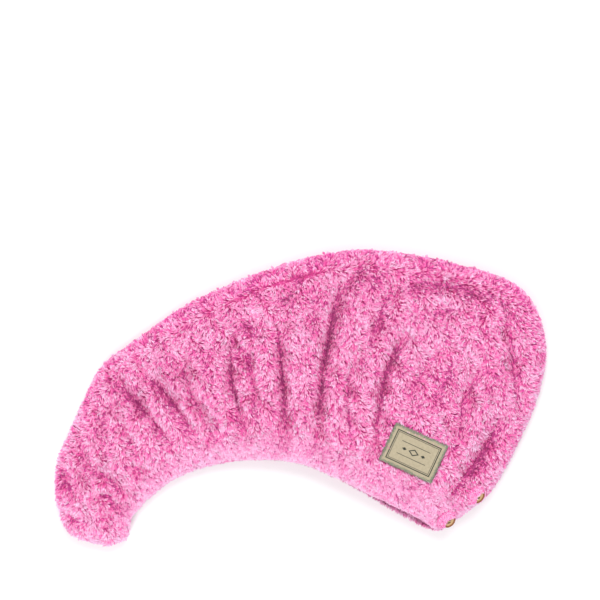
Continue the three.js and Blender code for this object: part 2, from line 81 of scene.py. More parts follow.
# Sections from the tail tip round the crescent to the nape corner. Ends are shares of the length and
# the depth, and the rest are shares of the sizes of the same name.
SECTION_COLUMNS = ("hem_x", "hem_y", "rim_x", "rim_y", "full", "round", "under", "band", "mouth", "lip")
SECTIONS = np.array(
    [
        [0.108, 0.000, 0.108, 0.000, 0.46, 0.45, 0.80, 0.00, 0.00, 0.00],
        [0.141, 0.020, 0.059, 0.017, 0.46, 0.45, 0.80, 0.00, 0.00, 0.00],
        [0.153, 0.054, 0.022, 0.054, 0.46, 0.45, 0.75, 0.15, 0.00, 0.00],
        [0.155, 0.091, 0.006, 0.128, 0.46, 0.48, 0.65, 0.32, 0.00, 0.00],
        [0.173, 0.128, 0.000, 0.203, 0.46, 0.52, 0.50, 0.44, 0.00, 0.00],
        [0.198, 0.169, 0.006, 0.291, 0.49, 0.60, 0.42, 0.54, 0.00, 0.00],
        [0.230, 0.211, 0.031, 0.392, 0.54, 0.70, 0.40, 0.60, 0.00, 0.00],
        [0.271, 0.245, 0.059, 0.493, 0.60, 0.80, 0.40, 0.65, 0.00, 0.00],
        [0.316, 0.269, 0.098, 0.611, 0.67, 0.88, 0.40, 0.66, 0.00, 0.00],
        [0.360, 0.284, 0.173, 0.706, 0.74, 0.94, 0.40, 0.66, 0.05, 0.00],
        [0.409, 0.291, 0.265, 0.811, 0.81, 0.98, 0.40, 0.66, 0.50, 0.00],
        [0.458, 0.291, 0.377, 0.899, 0.87, 1.00, 0.40, 0.66, 0.85, 0.00],
        [0.507, 0.277, 0.495, 0.966, 0.92, 1.00, 0.40, 0.66, 1.00, 0.00],
        [0.552, 0.247, 0.611, 1.000, 0.97, 1.00, 0.40, 0.66, 1.00, 0.00],
        [0.597, 0.211, 0.723, 0.986, 1.00, 1.00, 0.40, 0.68, 1.00, 0.05],
        [0.642, 0.169, 0.829, 0.949, 1.00, 0.98, 0.40, 0.72, 1.00, 0.30],
        [0.682, 0.128, 0.931, 0.892, 1.00, 0.92, 0.40, 0.78, 1.00, 0.75],
        [0.713, 0.100, 0.984, 0.791, 0.99, 0.84, 0.40, 0.88, 1.00, 1.00],
        [0.737, 0.078, 1.000, 0.642, 0.97, 0.72, 0.40, 0.97, 0.90, 1.00],
        [0.755, 0.062, 0.980, 0.486, 0.93, 0.58, 0.40, 1.00, 0.60, 0.80],
        [0.766, 0.054, 0.949, 0.368, 0.88, 0.44, 0.40, 1.00, 0.20, 0.35],
        [0.773, 0.051, 0.916, 0.257, 0.84, 0.38, 0.40, 0.96, 0.00, 0.05],
        [0.779, 0.051, 0.880, 0.169, 0.82, 0.36, 0.40, 0.80, 0.00, 0.00],
        [0.784, 0.052, 0.837, 0.112, 0.80, 0.36, 0.40, 0.45, 0.00, 0.00],
        [0.798, 0.066, 0.798, 0.066, 0.80, 0.36, 0.40, 0.00, 0.00, 0.00],
    ]
)
LAST_ROW = len(SECTIONS) - 1

# Creases: rim end, middle and hem end in shares of the length and the depth, then a share of the
# deepest crease (below zero for a ridge) and of the widest one
FOLDS = np.array(
    [
        [0.116, 0.595, 0.177, 0.476, 0.251, 0.328, 0.60, 0.38],
        [0.173, 0.601, 0.238, 0.500, 0.295, 0.358, 0.60, 0.44],
        [0.214, 0.635, 0.259, 0.520, 0.320, 0.318, -0.33, 0.38],
        [0.263, 0.679, 0.275, 0.534, 0.332, 0.358, 0.53, 0.44],
        [0.301, 0.662, 0.316, 0.527, 0.340, 0.409, -0.20, 0.44],
        [0.371, 0.747, 0.360, 0.578, 0.399, 0.365, 0.87, 0.38],
        [0.383, 0.696, 0.401, 0.568, 0.411, 0.399, 0.53, 0.38],
        [0.360, 0.730, 0.389, 0.757, 0.422, 0.713, 0.33, 0.88],
        [0.454, 0.770, 0.462, 0.588, 0.473, 0.351, 0.87, 0.38],
        [0.434, 0.818, 0.479, 0.865, 0.509, 0.959, 0.40, 0.44],
        [0.523, 0.905, 0.527, 0.824, 0.517, 0.730, 0.33, 0.50],
        [0.585, 0.912, 0.552, 0.662, 0.532, 0.345, 1.00, 0.40],
        [0.631, 0.963, 0.607, 0.919, 0.582, 0.865, 0.40, 0.38],
        [0.621, 0.676, 0.595, 0.534, 0.605, 0.345, 0.60, 0.38],
        [0.703, 0.909, 0.664, 0.804, 0.642, 0.669, 0.53, 0.50],
        [0.723, 0.733, 0.672, 0.588, 0.648, 0.304, 0.80, 0.38],
        [0.770, 0.757, 0.731, 0.628, 0.686, 0.453, -0.20, 0.50],
        [0.796, 0.689, 0.739, 0.588, 0.699, 0.459, 0.40, 0.75],
        [0.815, 0.679, 0.784, 0.561, 0.754, 0.443, 0.33, 1.00],
        [0.870, 0.635, 0.829, 0.500, 0.815, 0.331, 0.53, 0.50],
        [0.906, 0.595, 0.866, 0.459, 0.835, 0.324, -0.20, 0.50],
        [0.906, 0.453, 0.866, 0.331, 0.798, 0.179, 0.73, 0.56],
        [0.916, 0.770, 0.929, 0.601, 0.943, 0.432, 0.53, 0.38],
        [0.699, 0.905, 0.804, 0.882, 0.894, 0.838, 0.47, 0.38],
        [0.894, 0.838, 0.912, 0.811, 0.919, 0.757, 0.33, 0.38],
        [0.752, 0.797, 0.784, 0.804, 0.829, 0.811, 0.27, 0.38],
        [0.098, 0.412, 0.106, 0.466, 0.130, 0.507, 0.40, 0.38],
        [0.132, 0.443, 0.149, 0.372, 0.171, 0.324, 0.40, 0.38],
        [0.059, 0.409, 0.059, 0.318, 0.088, 0.270, 0.40, 0.50],
        [0.014, 0.284, 0.026, 0.230, 0.051, 0.182, 0.40, 0.56],
        [0.075, 0.284, 0.116, 0.230, 0.161, 0.169, 0.40, 0.38],
        [0.128, 0.301, 0.165, 0.274, 0.185, 0.230, 0.33, 0.44],
        [0.075, 0.169, 0.104, 0.179, 0.136, 0.135, 0.33, 0.38],
        [0.035, 0.122, 0.043, 0.095, 0.075, 0.095, 0.33, 0.38],
        [0.096, 0.108, 0.106, 0.105, 0.116, 0.115, 0.27, 0.38],
        [0.210, 0.304, 0.246, 0.280, 0.283, 0.311, 0.20, 0.50],
        [0.996, 0.588, 0.976, 0.486, 0.947, 0.399, 0.27, 0.25],
    ]
)
FOLD_DEPTH, FOLD_REACH = 6, 7

# Route of the elastic loop, in millimetres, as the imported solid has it
LOOP_ROUTE = np.array(
    [
        [-239.6, -177.5, 7.9],
        [-239.7, -174.5, 6.6],
        [-239.9, -171.0, 4.6],
        [-240.2, -167.5, 2.6],
        [-240.5, -164.0, 1.6],
        [-240.8, -160.5, 1.3],
        [-242.0, -157.4, 1.3],
        [-244.6, -155.3, 1.3],
        [-247.6, -154.7, 1.3],
        [-250.6, -155.6, 1.3],
        [-252.8, -158.1, 1.3],
        [-253.6, -161.4, 1.3],
        [-253.8, -164.9, 1.6],
        [-254.0, -168.3, 2.8],
        [-254.1, -171.7, 4.7],
        [-254.2, -174.9, 6.7],
        [-254.3, -177.5, 8.0],
    ]
)


class Side(Enum):
    """The pocket's two panels."""

    UPPER = "upper"
    LOWER = "lower"

    @property
    def outward(self) -> float:
        """1 for the panel that faces up, and -1 for the one that lies on the floor."""
        return 1.0 if self is Side.UPPER else -1.0


class Edge(Enum):
    """The two long edges of the crescent."""

    HEM = "hem"
    RIM = "rim"


def smooth(value: Array | float) -> Array:
    """Smooth step from 0 at 0 to 1 at 1.

    Args:
        value: Any numbers.

    Returns:
        3s² - 2s³ of the numbers clamped to 0..1.
    """
    share = np.clip(value, 0.0, 1.0)
    return share * share * (3 - 2 * share)


def unit(vectors: Array) -> Array:
    """Vectors scaled to length 1, along the last axis."""
    return vectors / np.maximum(np.linalg.norm(vectors, axis=-1, keepdims=True), 1e-12)


def turned(ways: Array, angle: Array) -> Array:
    """Ways in the plane, each turned by its own angle.

    Args:
        ways: N ways.
        angle: N angles in radians.

    Returns:
        The turned ways.
    """
    c, s = np.cos(angle), np.sin(angle)
    return np.stack([c * ways[:, 0] - s * ways[:, 1], s * ways[:, 0] + c * ways[:, 1]], -1)


def steps(path: Array) -> Array:
    """Distances from each point of a path to the next."""
    return np.linalg.norm(np.diff(path, axis=0), axis=1)


def catmull_rom(u: Array, before: Array, here: Array, there: Array, after: Array) -> Array:
    """Cubic from here to there whose slopes come from the neighbours.

    Args:
        u: Shares of the way from here to there.
        before: Values before here.
        here: Values at share 0.
        there: Values at share 1.
        after: Values after there.

    Returns:
        The values at the shares.
    """
    bend = 2 * before - 5 * here + 4 * there - after
    twist = 3 * (here - there) + after - before
    return here + 0.5 * u * (there - before + u * (bend + u * twist))


def segment_distances(points: Array, starts: Array, ends: Array) -> tuple[Array, Array]:
    """Distance of each point from each segment.

    Args:
        points: N places in the plane.
        starts: M segment starts.
        ends: M segment ends.

    Returns:
        Distances and shares along the segments, both N by M.
    """
    line = ends - starts
    square = np.maximum((line**2).sum(-1), 1e-18)
    offset = points[:, None] - starts[None]
    along = np.clip((offset * line).sum(-1) / square, 0.0, 1.0)
    return np.linalg.norm(offset - along[..., None] * line, axis=-1), along


@dataclass(frozen=True)
class Pocket:
    """The pocket's outline, fullness and creases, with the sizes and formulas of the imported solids."""

    length: float = 0.614
    depth: float = 0.370
    seam_height: float = 0.014
    crown_rise: float = 0.036
    round_reach: float = 0.105
    under_reach: float = 0.070
    band_width: float = 0.047
    mouth_rise: float = 0.012
    mouth_drop: float = 0.006
    lip_step: float = 0.006
    lip_most: float = 0.25
    fold_depth: float = 0.015
    fold_reach: float = 0.035
    fold_edge: float = 0.016
    under_fold: float = 0.3
    band_fold: float = 0.3
    label_length: float = 0.070
    label_width: float = 0.050
    label_turn: float = math.radians(-24.8)
    label_place: tuple[float, float] = (0.726, 0.324)
    label_ease: float = 0.014
    upper_power: float = 2.2
    under_power: float = 1.6
    steps_per_row: int = 16
    fold_segments: int = 8
    line_depth_power: float = 0.75
    line_taper_power: float = 0.8
    chunk: int = 2048

    def column(self, name: str, rows: Array) -> Array:
        """Column of the section table at any rows, by a Catmull-Rom spline.

        Args:
            name: Column of the table.
            rows: Rows, which may lie between sections.

        Returns:
            The column's values there.
        """
        values = SECTIONS[:, SECTION_COLUMNS.index(name)]
        start = np.clip(np.floor(rows).astype(int), 0, LAST_ROW - 1)
        around = (values[np.clip(start + step, 0, LAST_ROW)] for step in (-1, 0, 1, 2))
        return catmull_rom(rows - start, *around)

    def share(self, name: str, rows: Array) -> Array:
        """Column clamped to 0..1."""
        return np.clip(self.column(name, rows), 0.0, 1.0)

    def place(self, x: Array, y: Array) -> Array:
        """Places in the plane from shares of the length and the depth."""
        return np.stack([(x - 0.5) * self.length, (y - 0.5) * self.depth], -1)

    def edge(self, edge: Edge, rows: Array) -> Array:
        """Places of an edge at the rows."""
        return self.place(self.column(f"{edge.value}_x", rows), self.column(f"{edge.value}_y", rows))

    def inward(self, edge: Edge, rows: Array) -> Array:
        """Way into the pocket from an edge: left of the hem and right of the rim, going to the nape.

        Args:
            edge: Edge that is left.
            rows: R rows.

        Returns:
            Unit ways in the plane, R by 2.
        """
        step = 0.5 / self.steps_per_row
        before = self.edge(edge, np.maximum(rows - step, 0))
        along = unit(self.edge(edge, np.minimum(rows + step, LAST_ROW)) - before)
        turned = np.stack([-along[..., 1], along[..., 0]], -1)
        return turned if edge is Edge.HEM else -turned

    @cached_property
    def outline(self) -> Array:
        """The outline as a closed polygon, hem first and back along the rim."""
        rows = np.arange(LAST_ROW * self.steps_per_row + 1) / self.steps_per_row
        return np.concatenate([self.edge(Edge.HEM, rows), self.edge(Edge.RIM, rows)[::-1]])

    def ways_to(self, corners: Array, flat: Array) -> tuple[Array, Array]:
        """Ways from places to the nearest point of a closed polygon, worked out in chunks.

        Args:
            corners: Corners of the polygon.
            flat: N places in the plane.

        Returns:
            N ways and their N lengths.
        """
        ends = np.roll(corners, -1, axis=0)
        parts = []
        for first in range(0, len(flat), self.chunk):
            some = flat[first : first + self.chunk]
            distances, along = segment_distances(some, corners, ends)
            nearest = distances.argmin(1)
            share = along[np.arange(len(some)), nearest][:, None]
            way = corners[nearest] + share * (ends - corners)[nearest] - some
            parts.append(np.concatenate([way, distances.min(1)[:, None]], 1))
        found = np.concatenate(parts)
        return found[:, :2], found[:, 2]

    def distance_to_edge(self, points: Array) -> Array:
        """Distances of places, of any shape with x and y last, from the outline."""
        return self.ways_to(self.outline, points.reshape(-1, 2))[1].reshape(points.shape[:-1])

    def spaced_rows(self, count: int, first: float = 0.0, last: float = float(LAST_ROW)) -> Array:
        """Rows spaced evenly by the mean of the hem's and the rim's length.

        Args:
            count: Spaces between rows.
            first: First row.
            last: Last row.

        Returns:
            count + 1 rows.
        """
        rows = np.linspace(first, last, 1 + int(round((last - first) * self.steps_per_row)))
        pieces = sum(steps(self.edge(edge, rows)) for edge in Edge) / 2
        lengths = np.concatenate([[0.0], np.cumsum(pieces)])
        return np.interp(np.linspace(0.0, lengths[-1], count + 1), lengths, rows)

    @cached_property
    def creases(self) -> Array:
        """Each crease as points on the quadratic curve through its three places."""
        rim, middle, hem = (self.place(FOLDS[:, i], FOLDS[:, i + 1]) for i in (0, 2, 4))
        control = 2 * middle - 0.5 * (rim + hem)
        t = np.linspace(0.0, 1.0, self.fold_segments + 1)[:, None, None]
        curve = (1 - t) ** 2 * rim + 2 * t * (1 - t) * control + t**2 * hem
        return curve.transpose(1, 0, 2)

    @property
    def label_half(self) -> Array:
        """Half the woven patch's length and width."""
        return np.array([self.label_length, self.label_width]) / 2

    def label_local(self, points: Array) -> Array:
        """Places measured from the woven patch's middle, along its own sides.

        Args:
            points: Places of any shape, with x and y last.

        Returns:
            Places of the same shape.
        """
        x, y = np.moveaxis(points - self.place(*np.array(self.label_place)), -1, 0)
        c, s = math.cos(self.label_turn), math.sin(self.label_turn)
        return np.stack([c * x + s * y, c * y - s * x], -1)

    def clear_of_label(self, points: Array) -> Array:
        """0 under the woven patch, which holds the cloth flat, and 1 clear of it."""
        beyond = np.maximum(np.abs(self.label_local(points)) - self.label_half, 0.0)
        return smooth(np.linalg.norm(beyond, axis=-1) / self.label_ease)

    def along_creases(self, flat: Array) -> Iterator[tuple[Array, Array, Array]]:
        """Goes through the creases.

        Args:
            flat: N places in the plane.

        Yields:
            The crease's row of the table, N distances from it, and a parabola along it for each place.
        """
        index = np.arange(len(flat))
        for line, row in zip(self.creases, FOLDS):
            distances, along = segment_distances(flat, line[:-1], line[1:])
            nearest = distances.argmin(1)
            way = (nearest + along[index, nearest]) / self.fold_segments
            yield row, distances[index, nearest], np.clip(4 * way * (1 - way), 0.0, None)

    def crease_sum(self, points: Array, widening: float) -> Array:
        """Sum of the creases: across each, (1 - a)²(1 + a), and along it the root of a parabola.

        Args:
            points: Places of any shape, with x and y last.
            widening: How much wider each crease is than its own reach.

        Returns:
            Depths of the same shape.
        """
        flat = points.reshape(-1, 2)
        total = np.zeros(len(flat))
        for row, distance, taper in self.along_creases(flat):
            across = np.minimum(distance / (row[FOLD_REACH] * self.fold_reach + widening), 1.0)
            total += row[FOLD_DEPTH] * self.fold_depth * (1 - across) ** 2 * (1 + across) * np.sqrt(taper)
        return total.reshape(points.shape[:-1])

    def crease_lines(self, points: Array, reach: float) -> Array:
        """How near each place is to a crease's own line: a bell across it, most of any crease.

        Args:
            points: Places of any shape, with x and y last.
            reach: Distance at which it has fallen to about a third.

        Returns:
            A share that goes with the crease's depth on its line, and 0 away from it, of the same shape.
        """
        flat = points.reshape(-1, 2)
        nearness = np.zeros(len(flat))
        for row, distance, taper in self.along_creases(flat):
            deepest = max(row[FOLD_DEPTH], 0.0) ** self.line_depth_power * taper**self.line_taper_power
            nearness = np.maximum(nearness, deepest * np.exp(-((distance / reach) ** 2)))
        return nearness.reshape(points.shape[:-1])

    def folded(self, points: Array, rows: Array, from_edge: Array, from_hem: Array, widening: float) -> Array:
        """How far the creases take the cloth in, less near the edges, on the casing and at the patch.

        Args:
            points: Places of a skin, R by A by 2.
            rows: Row of each place.
            from_edge: Distances from the outline.
            from_hem: Distances from the hem.
            widening: How much wider the creases are than on the outer face.

        Returns:
            Depths, R by A.
        """
        past_band = smooth(0.5 + (from_hem - self.share("band", rows) * self.band_width) / self.fold_edge)
        on_band = self.band_fold + (1 - self.band_fold) * past_band
        depth = np.minimum(self.crease_sum(points, widening), self.fold_depth)
        return depth * smooth(from_edge / self.fold_edge) * on_band * self.clear_of_label(points)

    @staticmethod
    def rounded(from_edge: Array, reach: Array, power: float) -> Array:
        """Rounded rise from 0 at an edge to 1 at the reach."""
        left = 1 - np.clip(from_edge / reach, 0.0, 1.0)
        return (1 - left**power) ** (1 / power)

    def plan(self, rows: Array, across: Array, inset: float, lip_scale: float) -> tuple[Array, Array, Array]:
        """Places of a skin in the plane.

        Args:
            rows: R rows.
            across: R by A places across, from the hem at -1 to the rim at 1.
            inset: How far the skin lies inside the outer faces.
            lip_scale: 1 where the hem edge stands back by the lips' step, and 0 where it doesn't.

        Returns:
            Places R by A by 2, distances from the hem R by A, and the lips' step R by 1.
        """
        hem, rim = self.edge(Edge.HEM, rows), self.edge(Edge.RIM, rows)
        width = np.linalg.norm(hem - rim, axis=-1)
        lip = lip_scale * np.minimum(self.share("lip", rows) * self.lip_step, width * self.lip_most)
        hem = hem + self.inward(Edge.HEM, rows) * (inset + lip)[:, None]
        rim = rim + self.inward(Edge.RIM, rows) * inset
        way = ((across + 1) / 2)[..., None]
        points = hem[:, None] * (1 - way) + rim[:, None] * way
        return points, way[..., 0] * np.linalg.norm(hem - rim, axis=-1)[:, None], lip[:, None]

    def skin(self, side: Side, rows: Array, across: Array, inset: float) -> tuple[Array, Array, Array]:
        """Points of a skin of the pocket.

        Args:
            side: Panel.
            rows: R rows.
            across: R by A places across, from the hem at -1 to the rim at 1.
            inset: How far the skin lies inside the outer faces.

        Returns:
            Points R by A by 3, the share of the deepest crease R by A, and the distances from the hem.
        """
        upper = side is Side.UPPER
        points, from_hem, lip = self.plan(rows, across, inset, 1.0 if upper else 0.0)
        line = np.broadcast_to(rows[:, None], across.shape)
        at_hem = smooth(-across)
        opening = self.share("mouth", line) * at_hem
        inside = np.maximum(self.distance_to_edge(points) - inset - lip * at_hem, 0.0)
        from_edge = np.where(np.abs(across) < 1, inside, 0.0)
        fold = self.folded(points, line, from_edge, from_hem, inset)
        if upper:
            lift = self.seam_height + self.mouth_rise * opening
            top = self.seam_height + self.share("full", line) * self.crown_rise - inset
            reach = self.share("round", line) * self.round_reach - inset
            rise = self.rounded(from_edge, reach, self.upper_power)
            height = lift + np.maximum(top - lift, 0) * rise - fold
        else:
            lift = self.seam_height - self.mouth_drop * opening
            down = self.rounded(from_edge, self.share("under", line) * self.under_reach, self.under_power)
            height = lift - np.maximum(lift - inset, 0) * down + self.under_fold * fold * (1 - down)
        return np.concatenate([points, height[..., None]], -1), fold / self.fold_depth, from_hem


@dataclass(frozen=True)
class Waves:
    """Smooth seeded noise: the mean of plane waves of about one length in random directions."""

    seed: int
    wavelength: float
    count: int = 12

    def at(self, points: Array) -> Array:
        """Noise of about -1 to 1.

        Args:
            points: Places of any shape, with x and y first on the last axis.

        Returns:
            The sum of sines of the places, scaled to a unit spread.
        """
        rng = np.random.default_rng(self.seed)
        turn = rng.uniform(0, 2 * math.pi, self.count)
        pace = 2 * math.pi / (self.wavelength * rng.uniform(0.7, 1.6, self.count))
        ways = np.stack([np.cos(turn), np.sin(turn)]) * pace
        shift = rng.uniform(0, 2 * math.pi, self.count)
        return np.sin(points[..., :2] @ ways + shift).sum(-1) / math.sqrt(self.count)


@dataclass
class Skin:
    """One outer skin as a grid, from the tail to the nape and from the hem side to the rim side."""

    points: Array
    crease: Array
    outward: float

    @cached_property
    def normals(self) -> Array:
        """Outward unit normals of the grid, from the differences along it and across it."""
        along, over = np.gradient(self.points, axis=0), np.gradient(self.points, axis=1)
        normals = np.cross(along, over) * self.outward
        short = np.linalg.norm(normals, axis=-1, keepdims=True) < 1e-12
        return unit(np.where(short, np.array([0.0, 0.0, self.outward]), normals))

    def part(self, first: int, last: int) -> Skin:
        """The skin between two of its rows."""
        return Skin(self.points[first:last], self.crease[first:last], self.outward)

    @property
    def area(self) -> Array:
        """Area of each cell, as half the cross product of its diagonals."""
        p = self.points
        return np.linalg.norm(np.cross(p[1:, 1:] - p[:-1, :-1], p[1:, :-1] - p[:-1, 1:]), axis=-1) / 2


def new_object(name: str, points: Array, faces: Array, shade_smooth: bool = True) -> bpy.types.Object:
    """Mesh object from arrays.

    Args:
        name: Piece's name.
        points: N by 3, in metres.
        faces: M by 3 or M by 4 corner numbers.
        shade_smooth: Whether the faces are shaded smooth.

    Returns:
        The object, linked to the scene.
    """
    mesh = bpy.data.meshes.new(name)
    mesh.vertices.add(len(points))
    mesh.vertices.foreach_set("co", points.astype(np.float32).ravel())
    mesh.loops.add(faces.size)
    mesh.loops.foreach_set("vertex_index", faces.astype(np.int32).ravel())
    mesh.polygons.add(len(faces))
    mesh.polygons.foreach_set("loop_start", np.arange(0, faces.size, faces.shape[1], dtype=np.int32))
    mesh.polygons.foreach_set("use_smooth", np.full(len(faces), shade_smooth))
    mesh.update(calc_edges=True)
    item = bpy.data.objects.new(name, mesh)
    bpy.context.scene.collection.objects.link(item)
    return item


def set_values(item: bpy.types.Object, name: str, values: Array) -> None:
    """Stores one number or one vector a vertex as a named attribute.

    Args:
        item: Mesh object.
        name: Attribute's name.
        values: N numbers, or N by 3.
    """
    vector = values.ndim == 2
    kind = "FLOAT_VECTOR" if vector else "FLOAT"
    attribute = item.data.attributes.new(name, kind, "POINT")
    attribute.data.foreach_set("vector" if vector else "value", values.astype(np.float32).ravel())


def set_map(item: bpy.types.Object, name: str, places: Array) -> None:
    """Stores a UV map from one place a vertex.

    Args:
        item: Mesh object.
        name: Map's name.
        places: N by 2.
    """
    corners = np.empty(len(item.data.loops), np.int32)
    item.data.loops.foreach_get("vertex_index", corners)
    layer = item.data.uv_layers.new(name=name, do_init=False)
    layer.uv.foreach_set("vector", places[corners].astype(np.float32).ravel())


def dress(item: bpy.types.Object, finish: bpy.types.Material, slot: str = "", node: str = "") -> None:
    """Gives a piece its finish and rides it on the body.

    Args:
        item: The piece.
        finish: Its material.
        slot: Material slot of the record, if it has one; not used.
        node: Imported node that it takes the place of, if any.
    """
    item.data.materials.append(finish)
    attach(item, BODY)
    if node:
        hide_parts(node)


def lofted(rings: Array) -> tuple[Array, Array]:
    """Closed tube through rings of points, with a fan of quads to the middle of each end.

    Args:
        rings: R rings of S points, running clockwise seen along the tube's way.

    Returns:
        Points and quads.
    """
    count, size = rings.shape[:2]
    here = np.arange(count - 1)[:, None] * size + np.arange(size)
    beside = np.arange(count - 1)[:, None] * size + (np.arange(size) + 1) % size
    quads = np.stack([here, here + size, beside + size, beside], -1).reshape(-1, 4)
    points = rings.reshape(-1, 3)
    step = np.arange(0, size - 1, 2)
    last = (count - 1) * size
    middle = np.full(len(step), len(points))
    first_fan = np.stack([middle, step, step + 1, (step + 2) % size], -1)
    last_fan = np.stack([middle + 1, last + (step + 2) % size, last + step + 1, last + step], -1)
    points = np.concatenate([points, rings[[0, -1]].mean(1)])
    return points, np.concatenate([quads, first_fan, last_fan])


class Term:
    """An output socket, with arithmetic that adds Math nodes."""

    def __init__(self, shade: Shade, socket: bpy.types.NodeSocket) -> None:
        """Keeps the finish and the socket."""
        self.shade, self.socket = shade, socket

    def math(self, operation: str, *values: Term | float, clamp: bool = False) -> Term:
        """Math node on this and other values.

        Args:
            operation: Math node's operation.
            values: Further inputs.
            clamp: Whether the result is kept in 0..1.

        Returns:
            The node's result.
        """
        inputs = dict(enumerate((self, *values)))
        return self.shade.add("ShaderNodeMath", {"operation": operation, "use_clamp": clamp}, inputs)

    def __add__(self, other: Term | float) -> Term:
        """Sum."""
        return self.math("ADD", other)

    __radd__ = __add__

    def __mul__(self, other: Term | float) -> Term:
        """Product."""
        return self.math("MULTIPLY", other)

    __rmul__ = __mul__

    def __sub__(self, other: Term | float) -> Term:
        """Difference."""
        return self.math("SUBTRACT", other)

    def __rsub__(self, other: float) -> Term:
        """Difference from a number."""
        return self * -1 + other

    def __truediv__(self, other: Term | float) -> Term:
        """Quotient."""
        return self.math("DIVIDE", other)

    def __pow__(self, other: float) -> Term:
        """Power."""
        return self.math("POWER", other)

    def __abs__(self) -> Term:
        """Size without sign."""
        return self.math("ABSOLUTE")

    def sine(self) -> Term:
        """Sine."""
        return self.math("SINE")

    def clamped(self) -> Term:
        """Kept in 0..1."""
        return self.math("ADD", 0.0, clamp=True)

    def step(self, low: float, high: float) -> Term:
        """Smooth step from 0 at low to 1 at high.

        Args:
            low: Where it is 0.
            high: Where it is 1, which may be below low.

        Returns:
            The step.
        """
        settings = {"interpolation_type": "SMOOTHSTEP"}
        inputs = {"Value": self, "From Min": low, "From Max": high}
        if low > high:
            inputs = {"Value": self, "From Min": high, "From Max": low, "To Min": 1.0, "To Max": 0.0}
        return self.shade.add("ShaderNodeMapRange", settings, inputs)


class Shade:
    """Node tree of one finish, round its Principled shader."""

    def __init__(self, name: str) -> None:
        """Makes the material."""
        self.material = bpy.data.materials.new(name)
        self.material.use_nodes = True
        self.nodes = self.material.node_tree.nodes
        self.links = self.material.node_tree.links
        self.surface = next(node for node in self.nodes if node.type == "BSDF_PRINCIPLED")

    def feed(self, socket: bpy.types.NodeSocket, value: Term | float | Sequence[float]) -> None:
        """Links a term to an input, or sets its value.

        Args:
            socket: Input.
            value: Term, number, or colour without its alpha.
        """
        if isinstance(value, Term):
            self.links.new(value.socket, socket)
        elif hasattr(value, "__len__") and len(value) == 3 and socket.type == "RGBA":
            socket.default_value = (*value, 1.0)
        else:
            socket.default_value = value

    def add(
        self,
        kind: str,
        settings: dict[str, Any] | None = None,
        inputs: dict[str | int, Any] | None = None,
        output: str | int = 0,
    ) -> Term:
        """Adds any node.

        Args:
            kind: Node's type.
            settings: Its settings, such as a Math node's operation, set before its sockets.
            inputs: Values or terms by socket.
            output: Socket that is given back.

        Returns:
            The output as a term.
        """
        node = self.nodes.new(kind)
        for name, value in (settings or {}).items():
            setattr(node, name, value)
        for name, value in (inputs or {}).items():
            self.feed(node.inputs[name], value)
        return Term(self, node.outputs[output])

    def attribute(self, name: str, output: str = "Fac") -> Term:
        """Named attribute of the mesh."""
        return self.add("ShaderNodeAttribute", {"attribute_name": name}, {}, output)

    def place(self) -> Term:
        """Object coordinates."""
        return self.add("ShaderNodeTexCoord", output="Object")

    def parts(self, vector: Term) -> tuple[Term, Term, Term]:
        """The x, y and z of a vector.

        Args:
            vector: A vector.

        Returns:
            Its three numbers.
        """
        split = self.add("ShaderNodeSeparateXYZ", inputs={0: vector})
        outputs = split.socket.node.outputs
        return Term(self, outputs[0]), Term(self, outputs[1]), Term(self, outputs[2])

    def mix(self, low: Any, high: Any, factor: Term | float) -> Term:
        """Mix of two colours by a factor."""
        settings = {"data_type": "RGBA", "clamp_factor": True}
        return self.add("ShaderNodeMix", settings, {0: factor, 6: low, 7: high}, 2)

    def noise(self, vector: Term, scale: float, detail: float = 3.0, roughness: float = 0.55) -> Term:
        """Noise of about 0.3 to 0.7 in a place."""
        inputs = {"Vector": vector, "Scale": scale, "Detail": detail, "Roughness": roughness}
        return self.add("ShaderNodeTexNoise", inputs=inputs)

    def bump(self, height: Term, depth: float, strength: float = 1.0) -> Term:
        """Normal with a relief of that depth, in metres."""
        return self.add("ShaderNodeBump", inputs={"Strength": strength, "Distance": depth, "Height": height})

    def finish(self, **sockets: Any) -> bpy.types.Material:
        """Feeds the Principled shader's sockets, named with underscores for spaces.

        Args:
            sockets: Values or terms.

        Returns:
            The material.
        """
        for name, value in sockets.items():
            self.feed(self.surface.inputs[name.replace("_", " ")], value)
        return self.material


Colour = tuple[float, float, float]


@dataclass(frozen=True)
class PileFinish:
    """Pink plush pile: deep at the roots and paler to the tips. Reads along and tone of each tuft."""

    name: str
    # Colour of the lowest tones: painted shade in the creases, and dark wisps of the random tone elsewhere
    deep: Colour = (0.36, 0.035, 0.20)
    root: Colour = (0.80, 0.040, 0.32)
    middle: Colour = (0.94, 0.12, 0.46)
    tip: Colour = (1.00, 0.70, 0.92)

    def make(self) -> bpy.types.Material:
        """Colour from root over middle to tip, by the way along the tuft and the tuft's tone, which holds
        painted light, sheen and crease shade besides its own random share.
        """
        shade = Shade(self.name)
        along, tone = shade.attribute("along"), shade.attribute("tone")
        body = shade.mix(self.root, self.middle, (along * 1.3 + tone * 0.55).clamped())
        # Painted shade: the lowest tones, chiefly in creases, turn to the deep colour
        body = shade.mix(self.deep, body, (tone * 6.0 + 0.2).clamped())
        # Higher tones show more of the pale tip: painted light and sheen on slopes facing the hem and near the
        # edges, besides the random share
        colour = shade.mix(body, self.tip, ((along + 0.2) * (tone * 1.35 - 0.2)).clamped())
        return shade.finish(Base_Color=colour, Roughness=0.85, Specular_IOR_Level=0.25, Sheen_Weight=0.25)


@dataclass(frozen=True)
class ClothFinish:
    """Ground of the plush under its pile: deep pink knit with short loose fibres."""

    name: str
    low: Colour = (0.56, 0.035, 0.21)
    high: Colour = (0.80, 0.12, 0.40)

    def make(self) -> bpy.types.Material:
        """Fine noise in colour and relief, with broader patches over it."""
        shade = Shade(self.name)
        place = shade.place()
        fine, broad = shade.noise(place, 900.0), shade.noise(place, 60.0)
        colour = shade.mix(self.low, self.high, (fine * 1.6 + broad - 0.9).clamped())
        return shade.finish(
            Base_Color=colour, Roughness=0.95, Specular_IOR_Level=0.2, Normal=shade.bump(fine, 0.6 * MM)
        )


